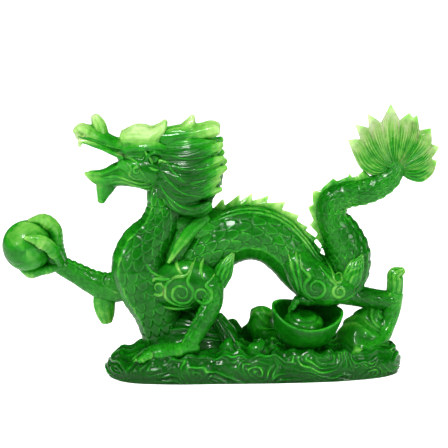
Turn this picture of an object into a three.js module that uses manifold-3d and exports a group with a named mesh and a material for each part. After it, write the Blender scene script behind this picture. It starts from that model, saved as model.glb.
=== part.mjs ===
// A jade dragon figurine: a dragon with a pearl in its right fore claw, standing on a cloud plinth over a boat-shaped
// ingot. It is a rigid carving, so each carved mass is a solid of its own, bonded to its neighbours across a thin gap.
// Millimetres, +Z up. The dragon looks along -X, its left side faces -Y, and the origin is under the middle of the
// whole figurine, on the surface that it stands on.
import * as THREE from "three";
import { mergeVertices } from "three/addons/utils/BufferGeometryUtils.js";
import Module from "manifold-3d";

const wasm = await Module();
wasm.setup();

// Driving dimensions.
const BOND_GAP = 0.35; // between neighbouring masses
const PLINTH_HEIGHT = 14;
const PEARL_RADIUS = 13;
const INGOT_LENGTH = 36;
const INGOT_DEPTH = 27;
const INGOT_HEIGHT = 17;
const INGOT_WALL = 2.4;
const CREST_THICKNESS = 3.2;
const SPINE_HEIGHT = 4.6; // how far a back spine stands off the body
const SPINE_VALLEY = 1.1; // the same between two spines
const SPINE_LEAN = 0.72; // how far along its pitch a spine's tip lies
const CREST_FOOT = 3; // how deep the crest is let into the body

// Directions and a few shared values.
const ACROSS = new THREE.Vector3(0, 1, 0); // every form's depth is measured along this
const WHOLE = [0, 1];
const ROUNDING = 0.55; // how far a form's end bulges, as a share of its radius there
const CAP_RING = { along: 0.72, size: 0.62 }; // the one ring between a form's last station and its pole

const BODY_JOIN = 0.56; // where the arch's front and rear masses meet, along its length
const TAIL_JOIN = 0.42; // where the tail's lower and upper masses meet
const EYE_RADII = [2.6, 2.2, 2.6];

// Stations along each tapering form: x, y, z, half height across the form, half depth.
const NECK = [
  [-26, 0, 101, 8, 9],
  [-27, 0, 92, 9, 9.5],
  [-28, 0, 83, 10, 10.5],
  [-33.5, 0, 72, 11.3, 11.5],
  [-39, 0, 62.5, 13, 12.5],
  [-41.3, 0, 53, 14, 13],
  [-39, 0, 45, 13.5, 12.5],
];
const CHEST = [
  [-37, 0, 44, 13, 12],
  [-32.5, 0, 33, 12.6, 12],
  [-30, 0, 24, 10.8, 11],
  [-28, 0, 16, 11, 11],
];
const BODY = [
  [-27, 1, 40, 10, 10],
  [-18, 1, 48, 12.5, 12],
  [-7.5, 0.5, 60.5, 13.4, 12.5],
  [3.5, 0, 68.5, 13.9, 13],
  [14.5, 0, 71, 14, 13],
  [25, 0, 68, 13.5, 12.5],
  [33.5, 0, 60.5, 12.6, 12],
  [40.5, 0, 52, 12, 12],
  [48.5, 0, 46, 12, 12.5],
  [58, 0, 44, 11, 11.5],
];
const TAIL = [
  [57, 0, 43, 10, 11],
  [62, 0, 50, 11.5, 11.5],
  [63.3, 0, 60, 11.3, 11],
  [60, 0, 70, 10.3, 10],
  [55.5, 0, 78.5, 8.8, 8.8],
  [55.2, 0, 86.5, 8, 7.8],
  [61.5, 0, 90.2, 7, 7],
  [70, 0, 91.5, 6.3, 6.2],
  [78, 0, 94.5, 6, 5.8],
  [84.5, 0, 99.5, 5.2, 5.2],
  [87.8, 0, 105, 3.2, 3.6],
];
const BELLY = [
  [-34.2, 0, 92, 3, 5],
  [-35.3, 0, 83, 3, 6],
  [-40, 0, 76.5, 3, 7],
  [-47.2, 0, 69, 3, 7.5],
  [-51.6, 0, 61, 3, 8],
  [-52.6, 0, 53, 3, 8],
  [-50.2, 0, 44.5, 3, 7.5],
  [-45.6, 0, 36, 3, 7],
  [-42, 0, 29, 3, 6],
];
const LEFT_SHOULDER = [
  [-35, -8, 42, 5.5, 5],
  [-29, -12, 44, 8.5, 6],
  [-19, -14, 45.5, 9.3, 6.5],
  [-9, -15.5, 46, 8.8, 6],
  [-1.5, -16.5, 46.5, 5.5, 5],
];
const LEFT_FOREARM = [
  [-3, -17, 46, 5, 4.8],
  [-4, -17.5, 39, 5.4, 5],
  [-8, -18.5, 31, 5, 4.6],
  [-12.5, -19.5, 24, 4.4, 4.2],
  [-16.5, -20.5, 17.5, 4.2, 4.2],
];
const LEFT_FOREPAW = [
  [-15, -20, 16, 3.6, 4],
  [-22, -21, 15, 3.6, 5.5],
  [-31, -22, 16, 3.6, 6.5],
  [-38, -22.5, 14, 2.6, 6],
  [-42.5, -22.5, 11.5, 1.2, 4.5],
];
const LEFT_ELBOW_TUFT = [
  [-1.5, -15, 47, 3.2, 3],
  [0.5, -14, 53, 4.4, 3.2],
  [3, -13, 58, 3.4, 2.6],
  [5.5, -12.5, 62, 1, 1],
];
const RIGHT_UPPER_ARM = [
  [-42, 7, 43, 8, 7],
  [-50, 9, 42.3, 7.6, 6.5],
  [-58, 10.5, 41.8, 7.2, 6],
  [-62.5, 10.8, 43, 6.2, 5.4],
];
const RIGHT_FOREARM = [
  [-60, 10.5, 42.5, 6, 5.4],
  [-66, 10.5, 45.3, 5.6, 5],
  [-73, 10, 49.2, 4.4, 4.2],
  [-80, 9, 52.8, 3.7, 3.8],
  [-84, 8.3, 54.5, 3.4, 5],
];
const RIGHT_ELBOW_TUFT = [
  [-58.3, 10.5, 39, 4.2, 3],
  [-59.3, 10.5, 32, 4.8, 3],
  [-58.6, 10.5, 26, 3.4, 2.4],
  [-58, 10.5, 22, 1, 1],
];
const PEARL = [-97, 8, 62.6];
const RIGHT_TALONS = {
  upper: [
    [-80.5, 8, 54.5, 3.2, 4],
    [-81.3, 8, 63, 2.6, 4.6],
    [-83.6, 8, 72.5, 2.8, 5],
    [-89.5, 8, 77, 2.9, 4.4],
    [-96, 8, 76.6, 1.2, 2.4],
  ],
  lower: [
    [-81, 8, 53, 3, 4],
    [-88, 8, 51, 2.8, 4.4],
    [-96, 8, 48.9, 2.6, 4],
    [-103.5, 8, 51.2, 1.1, 2],
  ],
  front: [
    [-81.5, 5, 55, 2.6, 3],
    [-84, -0.5, 62, 3.2, 2.4],
    [-89, -4, 68.5, 3.4, 2.2],
    [-97, -5.6, 71, 1.2, 1.4],
  ],
  back: [
    [-81.5, 11, 55, 2.6, 3],
    [-84, 16.5, 62, 3.2, 2.4],
    [-89, 20, 68.5, 3.4, 2.2],
    [-97, 21.6, 71, 1.2, 1.4],
  ],
};
const LEFT_THIGH = [
  [38, -9, 56, 7.5, 6],
  [43, -12, 50, 9.5, 6.8],
  [50, -13.5, 46, 9, 7],
  [58, -13, 44, 7, 6],
  [63.5, -12, 43.5, 4.6, 4.6],
];
const LEFT_SHANK = [
  [62, -12, 42, 4, 4],
  [55, -13, 38.5, 4.4, 4.2],
  [46, -12.8, 36.5, 3.6, 4.4],
  [39, -12.5, 36.5, 3, 6],
  [33.5, -12.5, 32.5, 1.4, 4.5],
];
const LEFT_HOCK_TUFT = [
  [61.5, -11.5, 44, 3, 3],
  [64, -11.5, 50, 4.8, 3],
  [66.5, -11, 56, 3.6, 2.6],
  [68.5, -10, 60, 1, 1],
];
const RIGHT_THIGH = [
  [58, 6, 40, 5.6, 6],
  [66, 8, 38, 5.2, 5.4],
  [74, 8.5, 36.5, 5.1, 5],
  [81, 8, 35.3, 5.1, 5],
  [86, 8, 36, 4.8, 4.8],
];
const RIGHT_SHANK = [
  [86, 8, 36, 4.6, 4.6],
  [84.5, 7.5, 29.5, 4.4, 4.4],
  [82, 6, 22.5, 4.2, 4.2],
  [79, 1, 16, 3.8, 4.2],
  [73, -5, 13.5, 3.2, 5],
  [66.5, -10, 12, 1.4, 4],
];
const RIGHT_HOCK_TUFT = [
  [85.6, 8, 39, 4, 4],
  [86, 8, 44.5, 3.9, 3.4],
  [86.2, 8, 49, 3.6, 3],
  [89, 8, 51.2, 1.6, 1.8],
];
const SKULL = [
  [-49, 0, 112.5, 4.6, 6.5],
  [-42, 0, 112.5, 7.5, 8.5],
  [-34, 0, 110, 10.5, 10],
  [-25, 0, 107.5, 11, 10],
  [-18, 0, 106, 8.5, 8.5],
];
const SNOUT = [
  [-47, 0, 112.2, 4.6, 6.6],
  [-54, 0, 114.6, 3.9, 6.2],
  [-61, 0, 118, 4.4, 6.2],
  [-68, 0, 120, 5, 6.2],
  [-73.5, 0, 122, 2.6, 4.6],
];
const NOSE_CURL = [
  [-60.5, 0, 119, 3.8, 4.4],
  [-61.8, 0, 125, 3.4, 4],
  [-63.2, 0, 130.5, 1.8, 2.4],
];
const LOWER_JAW = [
  [-34, 0, 99, 5.5, 8],
  [-42, 0, 100, 5.8, 7.4],
  [-50, 0, 101, 5.8, 6.4],
  [-57, 0, 99.5, 4, 5.4],
  [-63, 0, 99.8, 2.6, 4.4],
  [-69, 0, 101.3, 0.7, 1.6],
];
const BEARD = [
  [-57.5, 0, 99, 4, 3.4],
  [-59.6, 0, 93, 3.2, 3],
  [-61, 0, 85.6, 0.9, 1],
];
const BROW = [
  [-49, -4.6, 119.4, 2, 3],
  [-43, -5, 122.2, 3, 4],
  [-35, -5.4, 121.6, 3.2, 4],
  [-28.5, -5.8, 125.4, 2.2, 2.6],
];
const HORN = [
  [-29, -4.6, 119.5, 3, 3],
  [-20, -5.6, 121.2, 3.4, 3],
  [-11, -6.8, 122.5, 3, 2.8],
  [-2, -8.6, 124.2, 2, 2],
];
const EYE = [-32.5, -9.4, 109];
const MANE_LOCKS = [
  [
    [-26, -6, 113.5, 6, 5],
    [-14, -7.5, 114, 7, 5],
    [-3, -8, 113.5, 5, 3],
    [0.8, -7.5, 113, 2, 1.4],
  ],
  [
    [-26, -8.5, 104, 5.6, 4.6],
    [-14, -10, 102.5, 7, 5],
    [-2, -10, 102.5, 4.8, 3.4],
    [2.4, -9.5, 102.6, 1.4, 1.2],
  ],
  [
    [-28, -7.5, 95, 4, 4],
    [-20, -9.5, 89.5, 5.6, 4.6],
    [-10, -9.5, 88.5, 6, 4.2],
    [-3.5, -9, 87.5, 2.6, 1.8],
  ],
];
const MANE_BACK = [
  [-24, 0, 112, 8, 6],
  [-14, 0, 110, 10.5, 7],
  [-10, 0, 101, 9, 7.5],
  [-12, 0, 91, 7.5, 6.5],
  [-13, 0, 84, 4, 4.5],
];
const MANE_WISP = [
  [-9, -4, 80, 4.6, 3],
  [-15, -7, 74, 3.8, 3],
  [-21, -10, 66, 3, 2.6],
  [-27, -12, 57.5, 0.9, 1],
];
const FRONT_MOUND = [
  [-17, 0, 8, 25, 22],
  [-15, 1, 16, 22.5, 18],
  [-12, 2, 24, 14.5, 13],
  [-10, 2, 30, 8, 8],
];
const REAR_MOUND = [
  [71, 3, 8, 14, 14],
  [72, 4, 16, 12.5, 10.5],
  [72.5, 6, 23, 9.5, 7],
  [73, 6.5, 28, 5, 4],
];
const WAVE_CURL = [
  [24, 8, 12, 8, 6],
  [20, 7, 20, 7.4, 6],
  [20.5, 6, 27, 6, 5],
];
// Tail plumes: the root they share, then each plume's two middle points and its tip, as x and z.
const PLUME_ROOT = [86, 102.5];
const PLUMES = [
  [[77, 103.8], [69.3, 108.4], [63, 117.5]],
  [[76.5, 109], [71.3, 116.6], [66.3, 125.6]],
  [[79.5, 112], [76.8, 121], [72.3, 131.2]],
  [[84, 114], [83.3, 125], [84.6, 136.3]],
  [[90, 114], [93, 123.4], [95, 131.8]],
  [[94.5, 110.5], [100.5, 117], [103.6, 125]],
  [[95.5, 105.5], [102.6, 109], [108.6, 114]],
  [[94.5, 100.6], [101, 100.4], [107.2, 106.8]],
];
const PLUME_WIDTHS = [2.6, 4.9, 4.6, 0.7];
const PLUME_THICKNESS = [2.6, 3.4, 2.4, 0.8];

// The plinth's outline in plan.
const PLINTH_OUTLINE = [
  [-56, 0], [-53, -13], [-43, -22.5], [-28, -26.5], [0, -28], [34, -27.5], [60, -21.5], [79, -12], [87, -2],
  [84, 10], [70, 19.5], [46, 25.5], [14, 27.5], [-22, 26.5], [-43, 21], [-53, 11],
];
// Height as a share of the plinth's, and how far the outline moves out there.
const PLINTH_LEVELS = [[0, 0], [0.35, 1.4], [0.75, 0.4], [1, -4.5]];

const JADE = { deep: 0x1c7a1a, mid: 0x2f9a26, pale: 0x8fcf5a };

// ---- geometry ----

// A closed geometry through rings of equal length, with a pole closing each end.
function skin(rings, firstPole, lastPole) {
  const sides = rings[0].length;
  const points = [...rings.flat(), firstPole, lastPole];
  const first = points.length - 2;
  const last = points.length - 1;
  const faces = [];
  for (let side = 0; side < sides; side++) {
    const next = (side + 1) % sides;
    for (let ring = 0; ring < rings.length - 1; ring++) {
      const a = ring * sides + side;
      const b = ring * sides + next;
      faces.push(a, b, a + sides, b, b + sides, a + sides);
    }
    const end = (rings.length - 1) * sides;
    faces.push(first, next, side, last, end + side, end + next);
  }
  const geometry = new THREE.BufferGeometry().setFromPoints(points);
  geometry.setIndex(faces);
  return geometry;
}

// A tapering form along a smooth curve through stations, with rounded ends. grow swells it all over.
function form(stations, { sides = 8, steps = 2, span = WHOLE } = {}, grow = 0) {
  const spine = new THREE.CatmullRomCurve3(stations.map(([x, y, z]) => new THREE.Vector3(x, y, z)));
  const sizes = new THREE.CatmullRomCurve3(stations.map(([, , , high, deep]) => new THREE.Vector3(high, deep, 0)));
  const count = Math.max(2, Math.round((stations.length - 1) * steps * (span[1] - span[0])));
  const ringAt = (t, shift, shrink) => {
    const along = spine.getTangent(t);
    const deep = ACROSS.clone().addScaledVector(along, -along.y).normalize();
    const high = new THREE.Vector3().crossVectors(along, deep);
    const size = sizes.getPoint(t);
    const centre = spine.getPoint(t).addScaledVector(along, shift);
    return Array.from({ length: sides }, (_, side) => {
      const angle = (side / sides) * 2 * Math.PI;
      return centre
        .clone()
        .addScaledVector(high, Math.cos(angle) * (size.x + grow) * shrink)
        .addScaledVector(deep, -Math.sin(angle) * (size.y + grow) * shrink);
    });
  };
  const capAt = (t) => ROUNDING * Math.min(sizes.getPoint(t).x, sizes.getPoint(t).y);
  const [start, end] = span;
  const rings = [ringAt(start, -CAP_RING.along * capAt(start) - grow, CAP_RING.size)];
  for (let i = 0; i <= count; i++) rings.push(ringAt(start + ((end - start) * i) / count, 0, 1));
  rings.push(ringAt(end, CAP_RING.along * capAt(end) + grow, CAP_RING.size));
  const poleAt = (t, sign) => spine.getPoint(t).addScaledVector(spine.getTangent(t), sign * (capAt(t) + grow));
  return skin(rings, poleAt(start, -1), poleAt(end, 1));
}

// An ellipsoid.
function ball([x, y, z], radii, grow = 0, [around, down] = [10, 7]) {
  const [rx, ry, rz] = radii.map((radius) => radius + grow);
  return new THREE.SphereGeometry(1, around, down).rotateX(Math.PI / 2).scale(rx, ry, rz).translate(x, y, z);
}

function mirrored(stations) {
  return stations.map(([x, y, z, ...sizes]) => [x, -y, z, ...sizes]);
}

// A thin plate of spines that stands on a form's upper side, leaning towards its end.
function crest(stations, { span, count }, grow = 0) {
  const spine = new THREE.CatmullRomCurve3(stations.map(([x, y, z]) => new THREE.Vector3(x, y, z)));
  const sizes = new THREE.CatmullRomCurve3(stations.map(([, , , high]) => new THREE.Vector3(high, 0, 0)));
  const onBack = (t, off) => {
    const along = spine.getTangent(t);
    const up = new THREE.Vector3().crossVectors(along, ACROSS);
    return spine.getPoint(t).addScaledVector(up, sizes.getPoint(t).x + off);
  };
  const edge = [];
  const pitch = (span[1] - span[0]) / count;
  for (let i = 0; i < count; i++) {
    const t = span[0] + i * pitch;
    edge.push(onBack(t, SPINE_VALLEY), onBack(t + SPINE_LEAN * pitch, SPINE_HEIGHT));
  }
  edge.push(onBack(span[1], SPINE_VALLEY));
  for (let i = 2 * count; i >= 0; i--) edge.push(onBack(span[0] + (i / 2) * pitch, -CREST_FOOT));
  const outline = new THREE.Shape(edge.map((p) => new THREE.Vector2(p.x, p.z)));
  const thickness = CREST_THICKNESS + 2 * grow;
  return new THREE.ExtrudeGeometry(outline, { depth: thickness, bevelEnabled: false })
    .translate(0, 0, -thickness / 2)
    .rotateX(Math.PI / 2);
}

function plinth(grow = 0) {
  const outline = new THREE.CatmullRomCurve3(PLINTH_OUTLINE.map(([x, y]) => new THREE.Vector3(x, y, 0)), true);
  const count = 36;
  const rings = PLINTH_LEVELS.map(([share, out]) =>
    Array.from({ length: count }, (_, i) => {
      const along = outline.getTangent(i / count);
      const outward = new THREE.Vector3(along.y, -along.x, 0);
      const point = outline.getPoint(i / count).addScaledVector(outward, out + grow);
      point.z = share * PLINTH_HEIGHT + (share === 1 ? grow : 0);
      return point;
    }),
  );
  const middle = new THREE.Vector3(16, 0, 0);
  return skin(rings, middle, middle.clone().setZ(PLINTH_HEIGHT + grow));
}

// The ingot stands tipped towards the viewer and a little to its right-hand end.
const INGOT_PLACE = new THREE.Matrix4()
  .makeTranslation(42.5, -13.5, 30.8)
  .multiply(new THREE.Matrix4().makeRotationY(THREE.MathUtils.degToRad(6.5)))
  .multiply(new THREE.Matrix4().makeRotationX(THREE.MathUtils.degToRad(21)));

// Outside and inside profiles of the bowl, as a share of its rim and a share of its height below the rim.
const BOWL_OUTSIDE = [[0.42, 1], [0.72, 0.82], [0.92, 0.45], [1, 0]];
const BOWL_INSIDE = [[1, 0], [0.86, 0.3], [0.6, 0.5]];
const RIM_RISE = 4.2; // the ends of the boat shape above its middle

function bowl(grow = 0) {
  const sides = 24;
  const ring = ([share, drop], inset) =>
    Array.from({ length: sides }, (_, i) => {
      const angle = (i / sides) * 2 * Math.PI;
      const rise = RIM_RISE * Math.cos(angle) ** 2 * (1 - drop);
      return new THREE.Vector3(
        (share * INGOT_LENGTH / 2 - inset) * Math.cos(angle),
        (share * INGOT_DEPTH / 2 - inset) * Math.sin(angle),
        rise - drop * INGOT_HEIGHT + (drop === 0 ? grow : 0) + (inset > 0 && drop > 0 ? grow : 0),
      );
    });
  const rings = [
    ...BOWL_OUTSIDE.map((level) => ring(level, -grow)),
    ...BOWL_INSIDE.map((level) => ring(level, INGOT_WALL + grow)),
  ];
  const foot = new THREE.Vector3(0, 0, -INGOT_HEIGHT - grow);
  const floor = new THREE.Vector3(0, 0, -INGOT_HEIGHT * 0.52 + grow);
  return skin(rings, foot, floor).applyMatrix4(INGOT_PLACE);
}

// ---- solids ----

function solidOf(geometry) {
  const bare = geometry.clone();
  bare.deleteAttribute("normal");
  bare.deleteAttribute("uv");
  const merged = mergeVertices(bare, 1e-3);
  return new wasm.Manifold(
    new wasm.Mesh({
      numProp: 3,
      vertProperties: merged.attributes.position.array,
      triVerts: new Uint32Array(merged.index.array),
    }),
  );
}

function geometryOf(solid) {
  const { numProp, numVert, vertProperties, triVerts } = solid.getMesh();
  const positions = new Float32Array(numVert * 3);
  for (let i = 0; i < numVert; i++) positions.set(vertProperties.subarray(i * numProp, i * numProp + 3), i * 3);
  const geometry = new THREE.BufferGeometry();
  geometry.setAttribute("position", new THREE.BufferAttribute(positions, 3));
  geometry.setIndex(new THREE.BufferAttribute(triVerts, 1));
  geometry.computeVertexNormals();
  return geometry;
}

function biggestBody(solid) {
  return solid.decompose().reduce((best, body) => (body.volume() > best.volume() ? body : best));
}

// ---- the figurine ----

// Each mass in the order that it takes its place: a later one is trimmed back from every earlier one by the bond gap.
const masses = [];

function mass(name, shade, make) {
  masses.push({ name, shade, make });
}

function massAlong(name, shade, stations, options) {
  mass(name, shade, (grow) => form(stations, options, grow));
}

function addBase() {
  mass("base_plinth", "deep", plinth);
  mass("ingot_bowl", "deep", bowl);
  mass("ingot_dome", "mid", (grow) => ball([0, 0, -7], [9, 8, 7], grow).applyMatrix4(INGOT_PLACE));
}

function addMounds() {
  massAlong("front_mound", "deep", FRONT_MOUND, { sides: 12 });
  massAlong("rear_mound", "deep", REAR_MOUND, { sides: 10 });
  massAlong("wave_curl", "mid", WAVE_CURL);
}

function addTrunk() {
  massAlong("belly_plates", "mid", BELLY);
  massAlong("neck", "deep", NECK, { sides: 12 });
  massAlong("chest", "deep", CHEST, { sides: 12 });
  massAlong("body_rear", "deep", BODY, { sides: 12, span: [BODY_JOIN, 1] });
  massAlong("body_front", "deep", BODY, { sides: 12, span: [0, BODY_JOIN] });
  massAlong("tail_lower", "deep", TAIL, { sides: 12, span: [0, TAIL_JOIN] });
  massAlong("tail_upper", "mid", TAIL, { sides: 10, span: [TAIL_JOIN, 1] });
}

function addCrests() {
  mass("back_crest", "pale", (grow) => crest(BODY, { span: [0.27, 0.86], count: 11 }, grow));
  mass("tail_crest", "pale", (grow) => crest(TAIL, { span: [0.2, 0.92], count: 9 }, grow));
}

function addForelegs() {
  massAlong("left_shoulder", "mid", LEFT_SHOULDER, { sides: 10 });
  massAlong("left_forearm", "mid", LEFT_FOREARM);
  massAlong("left_forepaw", "mid", LEFT_FOREPAW);
  massAlong("left_elbow_tuft", "pale", LEFT_ELBOW_TUFT);
  massAlong("right_upper_arm", "mid", RIGHT_UPPER_ARM);
  massAlong("right_forearm", "mid", RIGHT_FOREARM);
  massAlong("right_elbow_tuft", "pale", RIGHT_ELBOW_TUFT);
  mass("pearl", "mid", (grow) => ball(PEARL, [PEARL_RADIUS, PEARL_RADIUS, PEARL_RADIUS], grow, [18, 11]));
  for (const [place, stations] of Object.entries(RIGHT_TALONS)) {
    massAlong("right_talon_" + place, "pale", stations);
  }
}

function addHindLegs() {
  massAlong("left_thigh", "mid", LEFT_THIGH, { sides: 10 });
  massAlong("left_shank", "mid", LEFT_SHANK);
  massAlong("left_hock_tuft", "pale", LEFT_HOCK_TUFT);
  massAlong("right_thigh", "mid", RIGHT_THIGH);
  massAlong("right_shank", "mid", RIGHT_SHANK);
  massAlong("right_hock_tuft", "pale", RIGHT_HOCK_TUFT);
}

function addHead() {
  mass("eye_left", "pale", (grow) => ball(EYE, EYE_RADII, grow));
  mass("eye_right", "pale", (grow) => ball([EYE[0], -EYE[1], EYE[2]], EYE_RADII, grow));
  massAlong("skull", "mid", SKULL, { sides: 10 });
  massAlong("snout", "pale", SNOUT);
  massAlong("nose_curl", "pale", NOSE_CURL);
  massAlong("lower_jaw", "mid", LOWER_JAW);
  massAlong("beard", "mid", BEARD);
  massAlong("horn_left", "pale", HORN);
  massAlong("horn_right", "pale", mirrored(HORN));
  massAlong("brow_left", "pale", BROW);
  massAlong("brow_right", "pale", mirrored(BROW));
  massAlong("mane_back", "deep", MANE_BACK, { sides: 10 });
  MANE_LOCKS.forEach((lock, i) => {
    massAlong("mane_left_" + (i + 1), "mid", lock);
    massAlong("mane_right_" + (i + 1), "mid", mirrored(lock));
  });
  massAlong("mane_wisp", "pale", MANE_WISP);
}

function plumeStations(points, index) {
  const lean = index % 2 ? 1.6 : -1.6; // neighbours lie in front of and behind each other
  return [PLUME_ROOT, ...points].map(([x, z], i) => [
    x, i === 0 ? 0 : lean, z, PLUME_WIDTHS[i], PLUME_THICKNESS[i],
  ]);
}

function addTailPlumes() {
  PLUMES.forEach((points, i) => {
    massAlong("tail_plume_" + (i + 1), "pale", plumeStations(points, i));
  });
}

function build() {
  addBase();
  addTrunk();
  addMounds();
  addForelegs();
  addHindLegs();
  addHead();
  addTailPlumes();
  addCrests();
  const figurine = new THREE.Group();
  const grown = masses.map(({ make }) => solidOf(make(BOND_GAP)));
  masses.forEach(({ name, shade, make }, i) => {
    const trimmed = grown.slice(0, i).reduce((left, earlier) => left.subtract(earlier), solidOf(make(0)));
    const material = new THREE.MeshStandardMaterial({ color: JADE[shade], roughness: 0.25, metalness: 0 });
    const mesh = new THREE.Mesh(geometryOf(biggestBody(trimmed)), material);
    mesh.name = name;
    figurine.add(mesh);
  });
  return figurine;
}

export default build();
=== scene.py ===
"""A carved green jade figurine: a dragon with a pearl, on a cloud plinth, over a boat-shaped ingot.

Every shape is worked out in millimetres in the CAD frame: +Z up, the dragon looks along -X and its left
side faces -Y. Most pieces are lofts: rings along a smooth curve through a few stations, with a carved
relief pushed in or out along them. Each vertex also gets a tone, which the jade reads: from about -1 in a
cut groove, which is painted shade, to 1 on a thin, pale edge. Raised ridges and rims are made paler as a
painted highlight.
"""

import math

import bpy
import numpy as np
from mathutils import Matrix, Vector
from mathutils.bvhtree import BVHTree


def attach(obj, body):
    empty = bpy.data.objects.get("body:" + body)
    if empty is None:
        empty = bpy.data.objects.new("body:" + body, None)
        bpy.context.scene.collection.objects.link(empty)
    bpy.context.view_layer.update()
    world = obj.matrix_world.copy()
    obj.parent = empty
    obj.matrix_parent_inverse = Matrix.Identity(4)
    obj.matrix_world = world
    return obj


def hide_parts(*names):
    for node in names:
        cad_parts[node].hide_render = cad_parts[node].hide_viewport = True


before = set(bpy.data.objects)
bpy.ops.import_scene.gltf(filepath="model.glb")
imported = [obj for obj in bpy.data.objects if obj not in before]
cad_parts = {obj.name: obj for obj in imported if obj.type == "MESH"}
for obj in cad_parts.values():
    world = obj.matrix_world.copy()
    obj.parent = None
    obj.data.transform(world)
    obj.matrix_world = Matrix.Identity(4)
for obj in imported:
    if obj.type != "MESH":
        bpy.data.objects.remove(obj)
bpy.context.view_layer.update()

MM = 0.001
FINE = 0.5  # spacing of the vertices on carved skin
ACROSS = np.array([0.0, 1.0, 0.0])  # the depth of every form is measured along this
LEFT, RIGHT = -1, 1  # sides of the dragon, as signs of y
SIDES = {LEFT: "left", RIGHT: "right"}
LEAST_RADIUS = 0.12
END_BULGE = 0.55  # how far a loft's rounded end stands out, as a share of its smaller half size


# ---- geometry ----


def unit(vectors):
    return vectors / np.maximum(np.linalg.norm(vectors, axis=-1, keepdims=True), 1e-9)


def smoothstep(low, high, x):
    t = np.clip((x - low) / (high - low), 0, 1)
    return t * t * (3 - 2 * t)


def bell(x, width):
    return np.exp(-((x / width) ** 2))


def all_round(count):
    """Angles evenly round a ring, as a row."""
    return np.linspace(0, 2 * math.pi, count, endpoint=False)[None, :]


def distances(points):
    """How far along a path each of its points is."""
    return np.concatenate([[0], np.cumsum(np.linalg.norm(np.diff(points, axis=0), axis=1))])


def read_at(places, distance, rows):
    """Rows interpolated at some distances along their path."""
    return np.stack([np.interp(places, distance, column) for column in rows.T], axis=1)


def sampled(stations, step):
    """Rows about every step mm along a smooth curve through the stations, and how far along each one is."""
    rows = np.array(stations, float)
    knots = np.concatenate([[0], np.cumsum(np.sqrt(np.linalg.norm(np.diff(rows[:, :3], axis=0), axis=1)))])
    slopes = np.gradient(rows, knots, axis=0)
    at = np.linspace(0, knots[-1], 40 * len(rows))
    i = np.clip(np.searchsorted(knots, at, side="right") - 1, 0, len(rows) - 2)
    width = (knots[i + 1] - knots[i])[:, None]
    t = (at - knots[i])[:, None] / width
    dense = (2 * t**3 - 3 * t**2 + 1) * rows[i] + (t**3 - 2 * t**2 + t) * width * slopes[i]
    dense += (3 * t**2 - 2 * t**3) * rows[i + 1] + (t**3 - t**2) * width * slopes[i + 1]
    distance = distances(dense[:, :3])
    even = np.linspace(0, distance[-1], max(4, int(distance[-1] / step)) + 1)
    return read_at(even, distance, dense), even


def axes_along(centres):
    """Unit vectors along a curve, across it towards its high side, and across it towards its deep side."""
    along = unit(np.gradient(centres, axis=0))
    deep = unit(ACROSS - along * along[:, 1:2])
    return along, np.cross(along, deep), deep


def rings_to_mesh(rings, tones, first, last):
    """A closed skin over rings of points, with a pole at either end. Returns (points, faces, tones)."""
    count, around = rings.shape[:2]
    ring, side = np.meshgrid(np.arange(count - 1), np.arange(around), indexing="ij")
    here = ring * around + side
    beside = ring * around + (side + 1) % around
    faces = np.stack([here, beside, beside + around, here + around], axis=-1).reshape(-1, 4).tolist()
    pole = count * around
    end = pole - around
    for j in range(around):
        following = (j + 1) % around
        faces.append([pole, following, j])
        faces.append([pole + 1, end + j, end + following])
    points = np.concatenate([rings.reshape(-1, 3), [first, last]])
    return points, faces, np.concatenate([tones.reshape(-1), [tones[0].mean(), tones[-1].mean()]])


def loft(stations, relief=None, step=FINE, tone=0.0, tip_tone=0.0):
    """A tapering form through stations (x, y, z, half height, half depth), with rounded ends.

    relief(s, angle, length) gives how far each point stands out and its tone. Angle 0 is the high side and a
    quarter turn is -Y. The tone grows by tip_tone towards the far end.
    """
    rows, distance = sampled(stations, step)
    centres = rows[:, :3]
    sizes = np.maximum(rows[:, 3:5], LEAST_RADIUS)
    along, high, deep = axes_along(centres)
    around = max(12, int(2 * math.pi * sizes.mean(axis=1).max() / step))
    turns = np.radians([15, 33, 51, 68, 82])  # rings that round off each end
    shift = np.zeros(len(rows))
    shrink = np.ones(len(rows))
    index = np.arange(len(rows))
    for end, sign, order in ((0, -1, turns[::-1]), (len(rows) - 1, 1, turns)):
        bulge = END_BULGE * sizes[end].min()
        put = 0 if end == 0 else len(index)
        index = np.insert(index, put, np.full(len(order), end))
        shift = np.insert(shift, put, sign * bulge * np.sin(order))
        shrink = np.insert(shrink, put, np.cos(order))
    s = (distance[index] + shift)[:, None]
    angle = all_round(around)
    out, tones = (0 * s * angle, 0 * s * angle) if relief is None else relief(s, angle, distance[-1])
    out = out * shrink[:, None]
    size = (sizes[index] * shrink[:, None])[:, :, None]
    centre = centres[index] + along[index] * shift[:, None]
    rings = centre[:, None, :] + (np.cos(angle) * (size[:, 0] + out))[..., None] * high[index][:, None, :]
    rings = rings - (np.sin(angle) * (size[:, 1] + out))[..., None] * deep[index][:, None, :]
    tones = tones + tone + tip_tone * np.clip(s / distance[-1], 0, 1) ** 1.5
    first = centres[0] - along[0] * END_BULGE * sizes[0].min()
    last = centres[-1] + along[-1] * END_BULGE * sizes[-1].min()
    return rings_to_mesh(rings, tones, first, last)


def ball(centre, radii, count, tone=0.0):
    """An ellipsoid."""
    down = np.linspace(0, math.pi, count)[1:-1, None]
    around = all_round(2 * count)
    flat = np.sin(down)
    sphere = np.stack([flat * np.cos(around), flat * np.sin(around), -np.cos(down) + 0 * around], -1)
    rings = np.array(centre) + sphere * np.array(radii)
    poles = [np.array(centre) + np.array([0, 0, sign * radii[2]]) for sign in (-1, 1)]
    return rings_to_mesh(rings, 0 * rings[..., 0] + tone, *poles)


def on_side(stations, side):
    """Stations written for the left side, on that side."""
    return stations if side == LEFT else [(x, -y, z, *sizes) for x, y, z, *sizes in stations]


# ---- carved reliefs ----


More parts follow.
